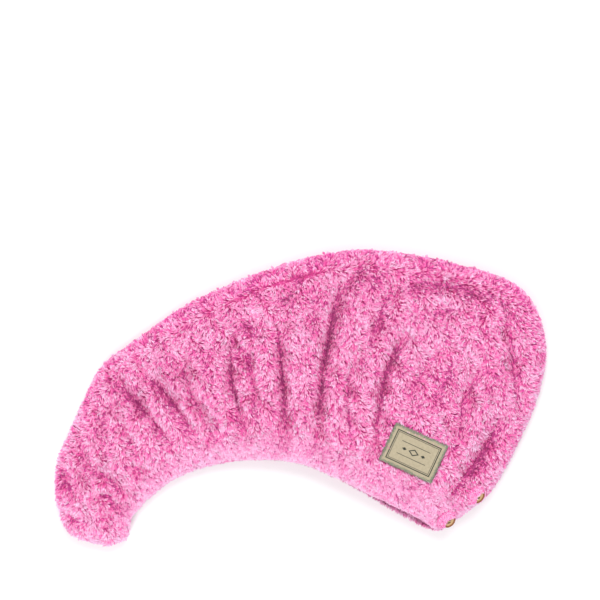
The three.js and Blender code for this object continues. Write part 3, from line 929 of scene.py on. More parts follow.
@dataclass(frozen=True)
class PatchFinish:
    """Linen weave of the patch with a plain printed frame and three lozenges. Reads the map in mm."""

    linen: Colour = (0.50, 0.43, 0.30)
    shadow: Colour = (0.33, 0.28, 0.19)
    ink: Colour = (0.035, 0.04, 0.035)
    pitch: float = 0.62
    size: tuple[float, float] = (70.0, 50.0)
    frame_inset: float = 6.2
    frame_line: float = 0.55
    inner_inset: float = 1.9
    lozenge: tuple[float, float] = (7.0, 4.4)
    hollow: tuple[float, float] = (4.6, 2.8)
    side_lozenge: tuple[float, float] = (3.0, 2.0)
    side_place: float = 12.5
    rule_place: float = 8.2
    rule_half: float = 19.0
    soft: float = 0.14

    def make(self) -> bpy.types.Material:
        """Crossing sines for the threads, noise for slubs, and lines of ink from distances."""
        shade = Shade("patch_weave")
        grid = shade.add("ShaderNodeUVMap", {"uv_map": "patch"})
        u, v, _ = shade.parts(grid)
        slub = shade.noise(grid, 0.9, 2.0)
        warp, weft = ((way * (2 * math.pi / self.pitch) + slub * 2.0).sine() for way in (u, v))
        weave = warp * weft * 0.5 + 0.5
        streak = shade.noise(grid, 0.35, 4.0)
        face = shade.mix(self.shadow, self.linen, (weave * 0.35 + streak * 1.3 - 0.05).clamped())
        worn = (self.printed(u, v) * (slub * 0.9 + 0.55)).clamped()
        return shade.finish(
            Base_Color=shade.mix(face, self.ink, worn),
            Roughness=0.88,
            Specular_IOR_Level=0.25,
            Normal=shade.bump(weave, 0.12 * MM, 0.7),
        )

    def printed(self, u: Term, v: Term) -> Term:
        """Ink of the frame and the lozenges.

        Args:
            u: Way along the patch.
            v: Way across it.

        Returns:
            1 on a printed line and 0 beside it.
        """

        def diamond(x: Term, size: tuple[float, float]) -> Term:
            """Distance from a diamond round the middle, in shares of its size."""
            return abs(x) / size[0] + abs(v) / size[1] - 1.0

        half = [size / 2 - self.frame_inset for size in self.size]
        box = (abs(u) - half[0]).math("MAXIMUM", abs(v) - half[1])
        ink = (abs(box) - self.frame_line).step(0.16, 0.0)
        middle = diamond(u, self.lozenge).step(0.05, -0.05)
        rules = (abs(abs(v) - self.rule_place) - 0.3).step(self.soft, 0.0)
        for mark in (
            (abs(box + self.inner_inset) - self.frame_line * 0.45).step(self.soft, 0.0),
            middle * diamond(u, self.hollow).step(-0.05, 0.05),
            diamond(abs(u) - self.side_place, self.side_lozenge).step(0.06, -0.06),
            rules * (abs(u) - self.rule_half).step(0.1, -0.1),
        ):
            ink = ink.math("MAXIMUM", mark)
        return ink


@dataclass(frozen=True)
class ThreadFinish:
    """Spun thread: a twist along its own map and a little unevenness."""

    name: str
    low: Colour
    high: Colour
    twist: float = 40.0

    def make(self) -> bpy.types.Material:
        """Slanting sine of the map for the ply, and noise in the place."""
        shade = Shade(self.name)
        grid = shade.add("ShaderNodeUVMap", {"uv_map": "thread"})
        around, along, _ = shade.parts(grid)
        ply = (around * (4 * math.pi) + along * self.twist).sine() * 0.5 + 0.5
        blotch = shade.noise(shade.place(), 700.0, 2.0)
        colour = shade.mix(self.low, self.high, (ply * 0.45 + blotch * 1.2 - 0.3).clamped())
        return shade.finish(Base_Color=colour, Roughness=0.75, Normal=shade.bump(ply, 0.08 * MM, 0.8))


@dataclass(frozen=True)
class WoodFinish:
    """Turned wood of the buttons: grain along one way, a darker rim and a pale dish. Reads turned, the
    place on the button in millimetres."""

    dark: Colour = (0.13, 0.035, 0.006)
    warm: Colour = (0.38, 0.12, 0.02)
    pale: Colour = (0.70, 0.47, 0.24)
    dish_edge: float = 6.3

    def make(self) -> bpy.types.Material:
        """Stretched noise for the grain, and the distance from the middle for dish and rim."""
        shade = Shade("button_wood")
        place = shade.attribute("turned", "Vector")
        stretched = shade.add(
            "ShaderNodeMapping", {"vector_type": "POINT"}, {"Vector": place, "Scale": (0.12, 1.1, 1.1)}
        )
        grain = shade.noise(stretched, 1.5, 5.0, 0.6)
        fleck = shade.noise(stretched, 5.0, 2.0)
        x, y, _ = shade.parts(place)
        radius = (x * x + y * y) ** 0.5
        body = shade.mix(self.dark, self.warm, (grain * 2.6 - 0.75).clamped())
        dish = shade.mix(self.warm, self.pale, (grain * 1.6 - 0.1 + fleck * 0.4).clamped())
        colour = shade.mix(dish, body, radius.step(self.dish_edge - 0.5, self.dish_edge + 0.3))
        return shade.finish(
            Base_Color=colour,
            Roughness=(grain * 0.3 + 0.28),
            Coat_Weight=0.15,
            Normal=shade.bump(fleck, 0.05 * MM, 0.5),
        )


@dataclass(frozen=True)
class FloorFinish:
    """Pale studio floor, which glows a little as a lit sweep does."""

    colour: Colour = (0.93, 0.93, 0.93)
    glow: float = 0.10

    def make(self) -> bpy.types.Material:
        """Matt white."""
        return Shade("studio_floor").finish(
            Base_Color=self.colour,
            Roughness=0.9,
            Specular_IOR_Level=0.1,
            Emission_Color=self.colour,
            Emission_Strength=self.glow,
        )


@dataclass(frozen=True)
class Tufts:
    """Pile made of closed locks on a skin: each is a bent kite, widest at its middle. In metres."""

    length: float = 7.0 * MM
    width: float = 1.4 * MM
    length_range: tuple[float, float] = (0.7, 1.25)
    width_range: tuple[float, float] = (0.7, 1.3)
    sink: float = 1.0 * MM
    bend: float = 0.16
    waist: float = 0.6
    waist_along: float = 0.62
    tilt: tuple[float, float] = (46.0, 70.0)
    wisp: float = 2.4 * MM
    gather: float = 0.34
    swirl: float = 24.0 * MM
    swirl_seed: int = 11
    sway: float = 0.9
    comb: float = 0.036
    pull: float = 1.5
    drift: tuple[float, float] = (0.15, -0.5)
    corner_step: int = 4
    spread: float = 0.55
    stray: float = 0.2
    wisp_tone: float = 0.66
    own_tone: float = 0.15
    broad_tone: float = 0.06
    broad_length: float = 46 * MM
    broad_seed: int = 5
    # Painted light: how much paler the tone is where the cloth faces the hem, as if lit from the front
    slope_painted_light: float = 0.30
    # Painted sheen: how much paler the tone is near the outline, and how far in that reaches
    edge_painted_sheen: float = 0.30
    edge_reach: float = 11 * MM
    # Painted shade: how far the tone falls in creases, and how sharply
    crease_painted_shade: float = 0.88
    crease_power: float = 1.3
    crease_cut: float = 0.15
    patch_margin: float = 1.6 * MM
    floor: float = 0.15 * MM
    map_width: float = 0.012

    @staticmethod
    def sample(skin: Skin, count: int, rng: np.random.Generator) -> tuple[Array, Array, Array]:
        """Even random places on a skin, in proportion to its cells' areas.

        Args:
            skin: Skin to cover.
            count: Places.
            rng: Seeded source.

        Returns:
            Points, normals and crease shares.
        """
        area = skin.area
        total = np.cumsum(area.ravel())
        aim = (np.arange(count) + rng.random(count)) / count * total[-1]
        cell = np.minimum(np.searchsorted(total, aim), area.size - 1)
        row, col = np.divmod(cell, area.shape[1])
        u, v = rng.random(count), rng.random(count)

        def at(values: Array) -> Array:
            """Bilinear value of a grid at the places."""
            spread = (slice(None),) + (None,) * (values.ndim - 2)
            a, b = u[spread], v[spread]
            low = values[row, col] * (1 - b) + values[row, col + 1] * b
            high = values[row + 1, col] * (1 - b) + values[row + 1, col + 1] * b
            return low * (1 - a) + high * a

        return at(skin.points), unit(at(skin.normals)), at(skin.crease)

    def flow(self, points: Array, pocket: Pocket) -> tuple[Array, Array]:
        """Way that the pile leans in the plane: combed to the hem, and outwards near the edges.

        Args:
            points: Places of the tufts.
            pocket: Pocket they stand on.

        Returns:
            Unit ways in the plane, N by 2, and distances from the outline.
        """
        plan = points[:, :2]
        out, from_edge = pocket.ways_to(pocket.outline[:: self.corner_step], plan)
        pull = self.pull * (1 - smooth(from_edge[:, None] / self.comb))
        ways = unit(pull * unit(out) + np.array(self.drift))
        return turned(ways, self.sway * Waves(self.swirl_seed, self.swirl).at(plan)), from_edge

    def wisps(self, points: Array, seed: int) -> tuple[Array, Array]:
        """Nearest wisp of each place, on a grid with one jittered middle a cell.

        Args:
            points: Places of the tufts.
            seed: Seed of the jitter.

        Returns:
            The wisp's middle in the plane, and two numbers from 0 to 1 of its own.
        """
        plan = points[:, :2] / self.wisp
        cell = np.floor(plan).astype(np.int64)
        best = np.full(len(plan), np.inf)
        middle, own = np.zeros_like(plan), np.zeros_like(plan)
        for step in np.stack(np.meshgrid((-1, 0, 1), (-1, 0, 1), indexing="ij"), -1).reshape(-1, 2):
            near = cell + step
            jitter = self.scattered(near, seed)
            place = near + jitter[:, :2]
            gap = np.linalg.norm(plan - place, axis=1)
            closer = gap < best
            best = np.where(closer, gap, best)
            middle[closer] = place[closer]
            own[closer] = jitter[closer, 2:]
        return middle * self.wisp, own

    @staticmethod
    def scattered(cells: Array, seed: int) -> Array:
        """Four numbers from 0 to 1 for each cell, from the fraction of a steep sine.

        Args:
            cells: N pairs of whole numbers.
            seed: Seed.

        Returns:
            N by 4.
        """
        key = cells @ np.array([12.9898, 78.233]) + seed * 0.731
        pace, shift = np.array([[1.0, 1.7, 2.3, 3.1], [0.3, 1.1, 2.9, 4.3]])
        raw = np.sin(key[:, None] * pace + shift) * 43758.5453
        return raw - np.floor(raw)

    def tones(self, points: Array, normals: Array, crease: Array, from_edge: Array, own: Array) -> Array:
        """Tone of each tuft: its own random share, made paler near the edges by painted sheen, paler where the
        cloth faces the hem by painted light, and deep in creases by painted shade.

        Args:
            points: Places of the tufts.
            normals: Normals of the cloth there.
            crease: Crease shares from 0 to 1.
            from_edge: Distances from the outline.
            own: Each tuft's own share, round 0.

        Returns:
            Tones within their limits.
        """
        broad = self.broad_tone * Waves(self.broad_seed, self.broad_length).at(points)
        # Random share and broad waves, then painted light: paler where the cloth faces the hem
        tone = 0.5 + own + (broad - self.slope_painted_light * normals[:, 1])
        # Painted sheen: paler near the outline
        tone += self.edge_painted_sheen * (1 - smooth(from_edge / self.edge_reach))
        # Painted shade: darker in creases
        return np.clip(tone - self.crease_painted_shade * crease**self.crease_power, *TONES)

    def build(self, name: str, skin: Skin, count: int, pocket: Pocket, seed: int) -> bpy.types.Object:
        """Covers a skin: each tuft leans along the flow, turned and toned with the rest of its wisp, and its
        tone also holds painted light, sheen and crease shade.

        Args:
            name: Piece's name.
            skin: Skin to cover.
            count: Tufts before those under the patch are left out.
            pocket: Pocket they stand on.
            seed: Seed of all the draws.

        Returns:
            The pile as one mesh, with along and tone on it.
        """
        rng = np.random.default_rng(seed)
        points, normals, crease = self.sample(skin, count, rng)
        if skin.outward > 0:
            inside = np.abs(pocket.label_local(points[:, :2]))
            kept = (inside > pocket.label_half - self.patch_margin).any(1)
            points, normals, crease = points[kept], normals[kept], crease[kept]
        size, crease = len(points), np.clip(crease, 0, 1)
        middle, own = self.wisps(points, seed)
        turn = self.spread * (2 * own[:, 0] - 1) + rng.normal(0.0, self.stray, size)
        flow, from_edge = self.flow(points, pocket)
        lean = np.concatenate([turned(flow, turn), np.zeros((size, 1))], 1)
        lean = unit(lean - normals * (lean * normals).sum(1, keepdims=True) + 1e-6)
        own_tone = self.wisp_tone * (own[:, 1] - 0.5) + rng.normal(0.0, self.own_tone, size)
        tone = self.tones(points, normals, crease, from_edge, own_tone)
        length = self.length * rng.uniform(*self.length_range, size) * (1 - self.crease_cut * crease)
        tilt = np.radians(rng.uniform(*self.tilt, size))
        tip = points + (normals * np.cos(tilt)[:, None] + lean * np.sin(tilt)[:, None]) * length[:, None]
        aim = middle + lean[:, :2] * (np.sin(tilt) * length)[:, None]
        tip[:, :2] += self.gather * (aim - tip[:, :2])
        root = points - normals * self.sink
        half = self.width * rng.uniform(*self.width_range, size) / 2
        side = np.cross(normals, lean) * half[:, None]
        return self.locks(name, root, tip, side, normals * length[:, None] * self.bend, tone)

    def locks(
        self, name: str, root: Array, tip: Array, side: Array, rise: Array, tone: Array
    ) -> bpy.types.Object:
        """Mesh of the locks: root, two sides of a raised middle, and tip, so four faces each.

        Args:
            name: Piece's name.
            root: Places where they stand.
            tip: Places where they end.
            side: Ways from the middle line to one side, half a lock wide.
            rise: Ways that the middles are raised.
            tone: A number from 0 to 1 each.

        Returns:
            The piece, with along and tone on it.
        """
        size = len(root)
        waist = root + (tip - root) * self.waist + rise
        corners = np.stack([root, waist + side, waist - side, tip], 1)
        corners[..., 2] = np.maximum(corners[..., 2], self.floor)
        faces = np.array([[0, 2, 1], [3, 1, 2], [0, 1, 3], [0, 3, 2]])
        triangles = (np.arange(size)[:, None, None] * 4 + faces).reshape(-1, 3)
        item = new_object(name, corners.reshape(-1, 3), triangles, shade_smooth=False)
        along = np.tile([0.0, self.waist_along, self.waist_along, 1.0], size)
        tone = np.repeat(tone, 4)
        set_values(item, "along", along)
        set_values(item, "tone", tone)
        width = np.tile([0.0, self.map_width, -self.map_width, 0.0], size)
        set_map(item, BAKE_MAP, np.stack([tone + width, 0.02 + 0.96 * along], -1))
        return item


@dataclass(frozen=True)
class PlushPocket:
    """The two panels and their gathered casings, each a closed wall of cloth under its pile."""

    pocket: Pocket
    pile_depth: float = 3.0 * MM
    cloth: float = 2.0 * MM
    upper_stations: int = 360
    lower_stations: int = 260
    upper_across: int = 72
    lower_across: int = 40
    band_across: int = 16
    inner_share: tuple[int, int] = (5, 18)
    spacing: tuple[float, float] = (0.45, 0.55)
    edge_ease: float = 0.02
    band_ease: float = 0.01
    band_most: float = 0.9
    stitch_depth: float = 1.6 * MM
    stitch_reach: float = 4.0 * MM
    pinch_depth: float = 5.0 * MM
    pinch_reach: float = 6.0 * MM
    pinch_share: float = 0.7
    inner_widening: float = 1.6
    lump: float = 0.35 * MM
    lump_length: float = 24 * MM
    lump_seed: int = 3
    band_ends: tuple[float, float] = (1.4, 23.7)
    lip_rows: tuple[float, float] = (8.5, 21.5)
    lip_width: float = 18 * MM
    lip_stations: int = 150
    lip_across: int = 12
    band_gather: float = 1.25
    panel_gather: float = 1.1

    def widths(self, rows: Array, lip_scale: float) -> Array:
        """Width of a skin under the pile at the rows, from the hem to the rim."""
        ends = np.array([[-1.0, 1.0]]).repeat(len(rows), 0)
        return self.pocket.plan(rows, ends, self.pile_depth, lip_scale)[1][:, 1]

    def band_line(self, rows: Array, side: Side) -> Array:
        """Place across, from -1 to 1, of the casing's stitch line at the rows.

        Args:
            rows: R rows.
            side: Panel.

        Returns:
            R places.
        """
        widths = self.widths(rows, 1.0 if side is Side.UPPER else 0.0)
        band = self.pocket.share("band", rows) * self.pocket.band_width
        return -1 + 2 * np.clip(band / np.maximum(widths, 1e-6), 0.0, self.band_most)

    def spaced(self, low: Array, high: Array, count: int) -> Array:
        """Places across from low to high, closer together near both ends.

        Args:
            low: First place of each row.
            high: Last place of each row.
            count: Places a row.

        Returns:
            Places, R by count.
        """
        even = np.linspace(0.0, 1.0, count)
        way = self.spacing[0] * even + self.spacing[1] * (1 - np.cos(math.pi * even)) / 2
        return low[:, None] * (1 - way) + high[:, None] * way

    def relief(self, points: Array, from_hem: Array, rows: Array) -> Array:
        """Small heights: loose lumps of the cloth, and the dip along the casing's stitch line.

        Args:
            points: Points of a skin.
            from_hem: Their distances from the hem.
            rows: R rows.

        Returns:
            Heights, one a point.
        """
        line = self.pocket.share("band", rows)[:, None] * self.pocket.band_width
        dip = self.stitch_depth * np.exp(-(((from_hem - line) / self.stitch_reach) ** 2))
        lumps = self.lump * Waves(self.lump_seed, self.lump_length).at(points)
        return lumps - dip * smooth(line / self.band_ease)

    def pinch(self, points: Array, reach: float) -> tuple[Array, Array]:
        """How far the creases' own lines draw the cloth in.

        Args:
            points: Points of a skin.
            reach: Reach of each line.

        Returns:
            Shares from 0 to 1, and how clear of the outline each point is, also from 0 to 1.
        """
        plan = points[..., :2]
        away = smooth(self.pocket.distance_to_edge(plan) / self.edge_ease)
        return self.pocket.crease_lines(plan, reach) * (away * self.pocket.clear_of_label(plan)), away

    def wall(self, side: Side, rows: Array, low: Array, high: Array, count: int) -> tuple[Skin, Array]:
        """Outer skin and inner skin of a piece of cloth.

        Args:
            side: Panel.
            rows: Rows of the grid.
            low: Place across of its hem side at each row.
            high: Place across of its rim side.
            count: Outer places across.

        Returns:
            The outer skin, and the inner points.
        """
        across = self.spaced(low, high, count)
        points, crease, from_hem = self.pocket.skin(side, rows, across, self.pile_depth)
        line, away = self.pinch(points, self.pinch_reach)
        inner_across = self.spaced(low, high, count * self.inner_share[0] // self.inner_share[1])
        inner, _, _ = self.pocket.skin(side, rows, inner_across, self.pile_depth + self.cloth)
        if side is Side.UPPER:
            points[..., 2] += self.relief(points, from_hem, rows) * away - self.pinch_depth * line
            drawn, _ = self.pinch(inner, self.pinch_reach * self.inner_widening)
            inner[..., 2] -= self.pinch_depth * drawn + self.lump
        # Crease share that the pile's painted crease shade reads: mostly the creases' own lines
        crease = self.pinch_share * line + (1 - self.pinch_share) * crease
        return Skin(points, crease, side.outward), inner

    def build(self) -> dict[str, Skin]:
        """Returns:
            The outer skins by the node they stand for, and the lips' strips.
        """
        skins = {}
        plush = ClothFinish("plush").make()
        casing = ClothFinish("band_plush", (0.60, 0.05, 0.25), (0.84, 0.16, 0.45)).make()
        for side, stations, across in (
            (Side.UPPER, self.upper_stations, self.upper_across),
            (Side.LOWER, self.lower_stations, self.lower_across),
        ):
            rows = self.pocket.spaced_rows(stations)
            whole = np.full(len(rows), True)
            inside = (rows > self.band_ends[0]) & (rows < self.band_ends[1])
            line = np.where(inside, self.band_line(rows, side), -1.0)
            ends = np.ones(len(rows))
            skins[f"{side.value}_lip"] = self.lip(side)
            for node, slot, low, high, count, kept, finish in (
                (f"{side.value}_panel", "plush", line, ends, across, whole, plush),
                (f"{side.value}_band", "band_plush", -ends, line, self.band_across, inside, casing),
            ):
                skin, inner = self.wall(side, rows[kept], low[kept], high[kept], count)
                upper, lower = (skin.points, inner) if side is Side.UPPER else (inner, skin.points)
                mesh = lofted(np.concatenate([upper, lower[:, ::-1]], 1))
                item = new_object(f"{node}_cloth", *mesh)
                dress(item, finish, slot, node)
                skins[node] = skin
                self.declare(item, node, skin)
        return skins

    def lip(self, side: Side) -> Skin:
        """Strip of the inner skin along the mouth, facing into the pocket.

        Args:
            side: Panel.

        Returns:
            The strip, with no creases.
        """
        rows = np.linspace(*self.lip_rows, self.lip_stations)
        high = -1 + 2 * self.lip_width / self.widths(rows, 0.0)
        across = self.spaced(np.full(len(rows), -1.0), high, self.lip_across)
        points, crease, _ = self.pocket.skin(side, rows, across, self.pile_depth + self.cloth)
        return Skin(points, 0 * crease, -side.outward)

    def declare(self, item: bpy.types.Object, node: str, skin: Skin) -> None:
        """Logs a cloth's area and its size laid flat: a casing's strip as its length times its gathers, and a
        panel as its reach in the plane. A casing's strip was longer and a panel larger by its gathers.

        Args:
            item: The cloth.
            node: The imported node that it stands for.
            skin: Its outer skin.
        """
        area = float(skin.area.sum())
        if node.endswith("band"):
            length = float(steps(skin.points[:, 0]).sum())
            flat = (area / length, length * self.band_gather)
        else:
            reach = np.ptp(skin.points.reshape(-1, 3), axis=0)
            flat = (float(reach[1]), float(reach[0]))
        LOG.info("%s: %.4f square metres of flat %s", item.name, area, np.round(flat, 3).tolist())


@dataclass(frozen=True)
class PileCover:
    """Which part of a skin one pile piece covers, with how many tufts of which kind."""

    name: str
    skin: str
    first: float
    last: float
    count: int
    slot: str
    tufts: Tufts


LONG = Tufts()
# Shorter pile for the casings and lips, with less painted crease shade
SHORT = Tufts(length=5.4 * MM, crease_painted_shade=0.5)
UNDER = Tufts(width=3.2 * MM, tilt=(45.0, 80.0))
LIP = Tufts(length=9.0 * MM, width=1.9 * MM, tilt=(66.0, 84.0), sway=0.3, spread=0.4)
COVERS = (
    PileCover("upper_pile_tail", "upper_panel", 0.0, 0.36, 36000, "plush", LONG),
    PileCover("upper_pile_middle", "upper_panel", 0.36, 0.62, 49000, "plush", LONG),
    PileCover("upper_pile_crown", "upper_panel", 0.62, 1.0, 49000, "plush", LONG),
    PileCover("upper_pile_band", "upper_band", 0.0, 1.0, 27000, "band_plush", SHORT),
    PileCover("lower_pile_panel", "lower_panel", 0.0, 1.0, 15000, "plush", UNDER),
    PileCover("lower_pile_band", "lower_band", 0.0, 1.0, 12000, "band_plush", SHORT),
    PileCover("upper_pile_lip", "upper_lip", 0.0, 1.0, 4500, "band_plush", SHORT),
    PileCover("lower_pile_lip", "lower_lip", 0.0, 1.0, 9500, "band_plush", LIP),
)


@dataclass(frozen=True)
class Pile:
    """The pile over the four cloths."""

    pocket: Pocket
    skins: dict[str, Skin]
    first_seed: int = 100
    band_root: Colour = (0.70, 0.07, 0.30)
    band_middle: Colour = (0.92, 0.21, 0.53)
    band_tip: Colour = (1.00, 0.64, 0.87)

    def build(self) -> None:
        """Makes each pile piece, gives it its finish and rides it on the body."""
        band = PileFinish("band_pile", root=self.band_root, middle=self.band_middle, tip=self.band_tip)
        finishes = {"plush": PileFinish("plush_pile").make(), "band_plush": band.make()}
        for seed, cover in enumerate(COVERS, self.first_seed):
            skin = self.skins[cover.skin]
            last = len(skin.points) - 1
            part = skin.part(round(cover.first * last), round(cover.last * last) + 1)
            item = cover.tufts.build(cover.name, part, cover.count, self.pocket, seed)
            dress(item, finishes[cover.slot], cover.slot)
            LOG.info("%s: %d triangles", item.name, len(item.data.polygons))


def swept(path: Array, radius: Array | float, sides: int) -> tuple[Array, Array, Array]:
    """Round tube along a path, its rings turned as little as they can be.

    Args:
        path: N points.
        radius: Radius at each point, or one for all.
        sides: Sides of the tube.

    Returns:
        Points, quads and a map with the way round and the way along in millimetres.
    """
    tangent = unit(np.gradient(path, axis=0))
    first = np.cross(tangent[0], [0.0, 0.0, 1.0])
    first = first if np.linalg.norm(first) > 0.1 else np.cross(tangent[0], [1.0, 0.0, 0.0])
    frames = [unit(first)]
    for way in tangent[1:]:
        frames.append(unit(frames[-1] - way * (frames[-1] @ way)))
    over = np.array(frames)
    beside = np.cross(tangent, over)
    turn = np.linspace(0.0, 2 * math.pi, sides, endpoint=False)
    size = np.broadcast_to(radius, len(path))[:, None, None]
    ring = np.cos(turn)[None, :, None] * over[:, None] + np.sin(turn)[None, :, None] * beside[:, None]
    rings = path[:, None] + ring * size
    points, quads = lofted(rings)
    length = np.concatenate([[0.0], np.cumsum(steps(path))]) / MM
    grid = np.stack(np.broadcast_arrays(turn[None] / (2 * math.pi), length[:, None]), -1).reshape(-1, 2)
    return points, quads, np.concatenate([grid, [[0.5, length[0]], [0.5, length[-1]]]])


def joined(parts: Sequence[tuple[Array, Array, Array]]) -> tuple[Array, Array, Array]:
    """Several meshes as one, each given by its points, faces and map.

    Args:
        parts: Points, faces and map of each mesh.

    Returns:
        Points, faces and map of the whole.
    """
    offsets = np.cumsum([0] + [len(points) for points, _, _ in parts[:-1]])
    return (
        np.concatenate([points for points, _, _ in parts]),
        np.concatenate([faces + offset for (_, faces, _), offset in zip(parts, offsets)]),
        np.concatenate([grid for _, _, grid in parts]),
    )


def splined(route: Array, count: int) -> Array:
    """Smooth path through points: a Catmull-Rom spline, spaced evenly.

    Args:
        route: N points.
        count: Points of the path.

    Returns:
        The path.
    """
    padded = np.concatenate([2 * route[:1] - route[1:2], route, 2 * route[-1:] - route[-2:-1]])
    t = np.linspace(0.0, len(route) - 1 - 1e-9, count * 4)
    start = t.astype(int)
    u = (t - start)[:, None]
    fine = catmull_rom(u, *(padded[start + step] for step in range(4)))
    length = np.concatenate([[0.0], np.cumsum(steps(fine))])
    even = np.linspace(0.0, length[-1], count)
    return np.stack([np.interp(even, length, fine[:, axis]) for axis in range(3)], -1)


@dataclass
class WovenPatch:
    """The linen patch and the overlocking round its edge."""

    pocket: Pocket
    thickness: float = 1.4 * MM
    rise: float = 0.5 * MM
    margin: float = 0.5 * MM
    columns: int = 70
    rows: int = 50
    fit_rows: tuple[float, float] = (12.0, 23.0)
    fit_across: tuple[float, float] = (-0.98, 0.6)
    fit_counts: tuple[int, int] = (200, 60)
    fit_half: tuple[float, float] = (0.037, 0.027)
    fit_unit: float = 0.035
    ragged: float = 0.25 * MM
    ragged_length: float = 9 * MM
    pucker: float = 0.35 * MM
    pucker_length: float = 16 * MM
    stitch_pitch: float = 1.0 * MM
    stitch_inside: float = 2.6 * MM
    stitch_radius: float = 0.42 * MM
    stitch_lift: tuple[float, ...] = (1.0, 1.9, 1.5, 0.3, -0.2)
    stitch_stray: float = 0.4

    @cached_property
    def surface(self) -> Array:
        """Cubic fit of the upper skin's height over the patch, as weights of the powers."""
        rows = self.pocket.spaced_rows(self.fit_counts[0], *self.fit_rows)
        across = np.linspace(*self.fit_across, self.fit_counts[1])[None].repeat(len(rows), 0)
        points, _, _ = self.pocket.skin(Side.UPPER, rows, across, 0.0)
        local = self.pocket.label_local(points[..., :2]).reshape(-1, 2)
        near = (np.abs(local) < np.array(self.fit_half)).all(1)
        return np.linalg.lstsq(self.powers(local[near]), points[..., 2].ravel()[near], rcond=None)[0]

    def powers(self, local: Array) -> Array:
        """Products of the powers of both coordinates up to the third."""
        x, y = local[..., 0] / self.fit_unit, local[..., 1] / self.fit_unit
        return np.stack([x**i * y**j for i in range(4) for j in range(4 - i)], -1)

    def lifted(self, local: Array, height: Array | float) -> Array:
        """Points at a height over the skin, from places on the patch.

        Args:
            local: Places measured from the patch's middle.
            height: Height over the skin.

        Returns:
            Points with the same shape.
        """
        c, s = math.cos(self.pocket.label_turn), math.sin(self.pocket.label_turn)
        middle = self.pocket.place(*np.array(self.pocket.label_place))
        x = middle[0] + c * local[..., 0] - s * local[..., 1]
        y = middle[1] + s * local[..., 0] + c * local[..., 1]
        return np.stack([x, y, self.powers(local) @ self.surface + height], -1)

    def build(self) -> None:
        """Makes the patch and its edge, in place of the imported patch."""
        half = self.pocket.label_half - self.margin
        u, v = np.meshgrid(np.linspace(-1, 1, self.columns), np.linspace(-1, 1, self.rows), indexing="ij")
        local = np.stack([u * half[0], v * half[1]], -1)
        local += self.ragged * np.stack([Waves(seed, self.ragged_length).at(local) for seed in (21, 22)], -1)
        pucker = self.pucker * Waves(23, self.pucker_length).at(local)
        top = self.lifted(local, self.rise + self.thickness + pucker)
        under = self.lifted(local, self.rise + pucker)
        patch = new_object("woven_patch", *lofted(np.concatenate([top, under[:, ::-1]], 1)))
        grid = np.concatenate([local, local[:, ::-1]], 1).reshape(-1, 2) / MM
        set_map(patch, "patch", np.concatenate([grid, grid[:1], grid[-1:]]))
        dress(patch, PatchFinish().make(), "patch_weave", "label_patch")
        edge = self.edge_stitches(half)
        LOG.info("woven_patch and patch_overlock: %d faces in its threads", len(edge.data.polygons))

    def edge_stitches(self, half: Array) -> bpy.types.Object:
        """Overlocking: short threads over the edge, side by side and of uneven length.

        Args:
            half: Half the patch's length and width.

        Returns:
            The threads as one mesh.
        """
        rng = np.random.default_rng(31)
        parts = []
        for axis, sign in ((0, 1), (0, -1), (1, 1), (1, -1)):
            count = int(round(2 * half[axis] / self.stitch_pitch))
            over = half[1 - axis]
            for place in np.linspace(-half[axis], half[axis], count):
                reach = self.stitch_inside * rng.uniform(0.5, 1.1)
                out = over + rng.uniform(-0.3, 1.3) * MM
                away = sign * np.array([over - reach, over - reach / 2, out, out, over - MM])
                slide = place + rng.normal(0, self.stitch_stray, 5) * MM
                local = np.stack([slide, away] if axis == 0 else [away, slide], -1)
                lift = self.rise + np.array(self.stitch_lift) * MM
                path = splined(self.lifted(local, lift), 7)
                parts.append(swept(path, self.stitch_radius * rng.uniform(0.8, 1.2), 5))
        points, quads, grid = joined(parts)
        item = new_object("patch_overlock", points, quads)
        set_map(item, "thread", grid)
        thread = ThreadFinish("overlock_thread", (0.14, 0.17, 0.12), (0.42, 0.45, 0.34))
        dress(item, thread.make(), "patch_weave")
        return item


@dataclass(frozen=True)
class ButtonSpec:
    """Where a button sits: a section, a place across it, and the compass way and rise of its face."""

    name: str
    row: float
    across: float
    facing: float
    rise: float


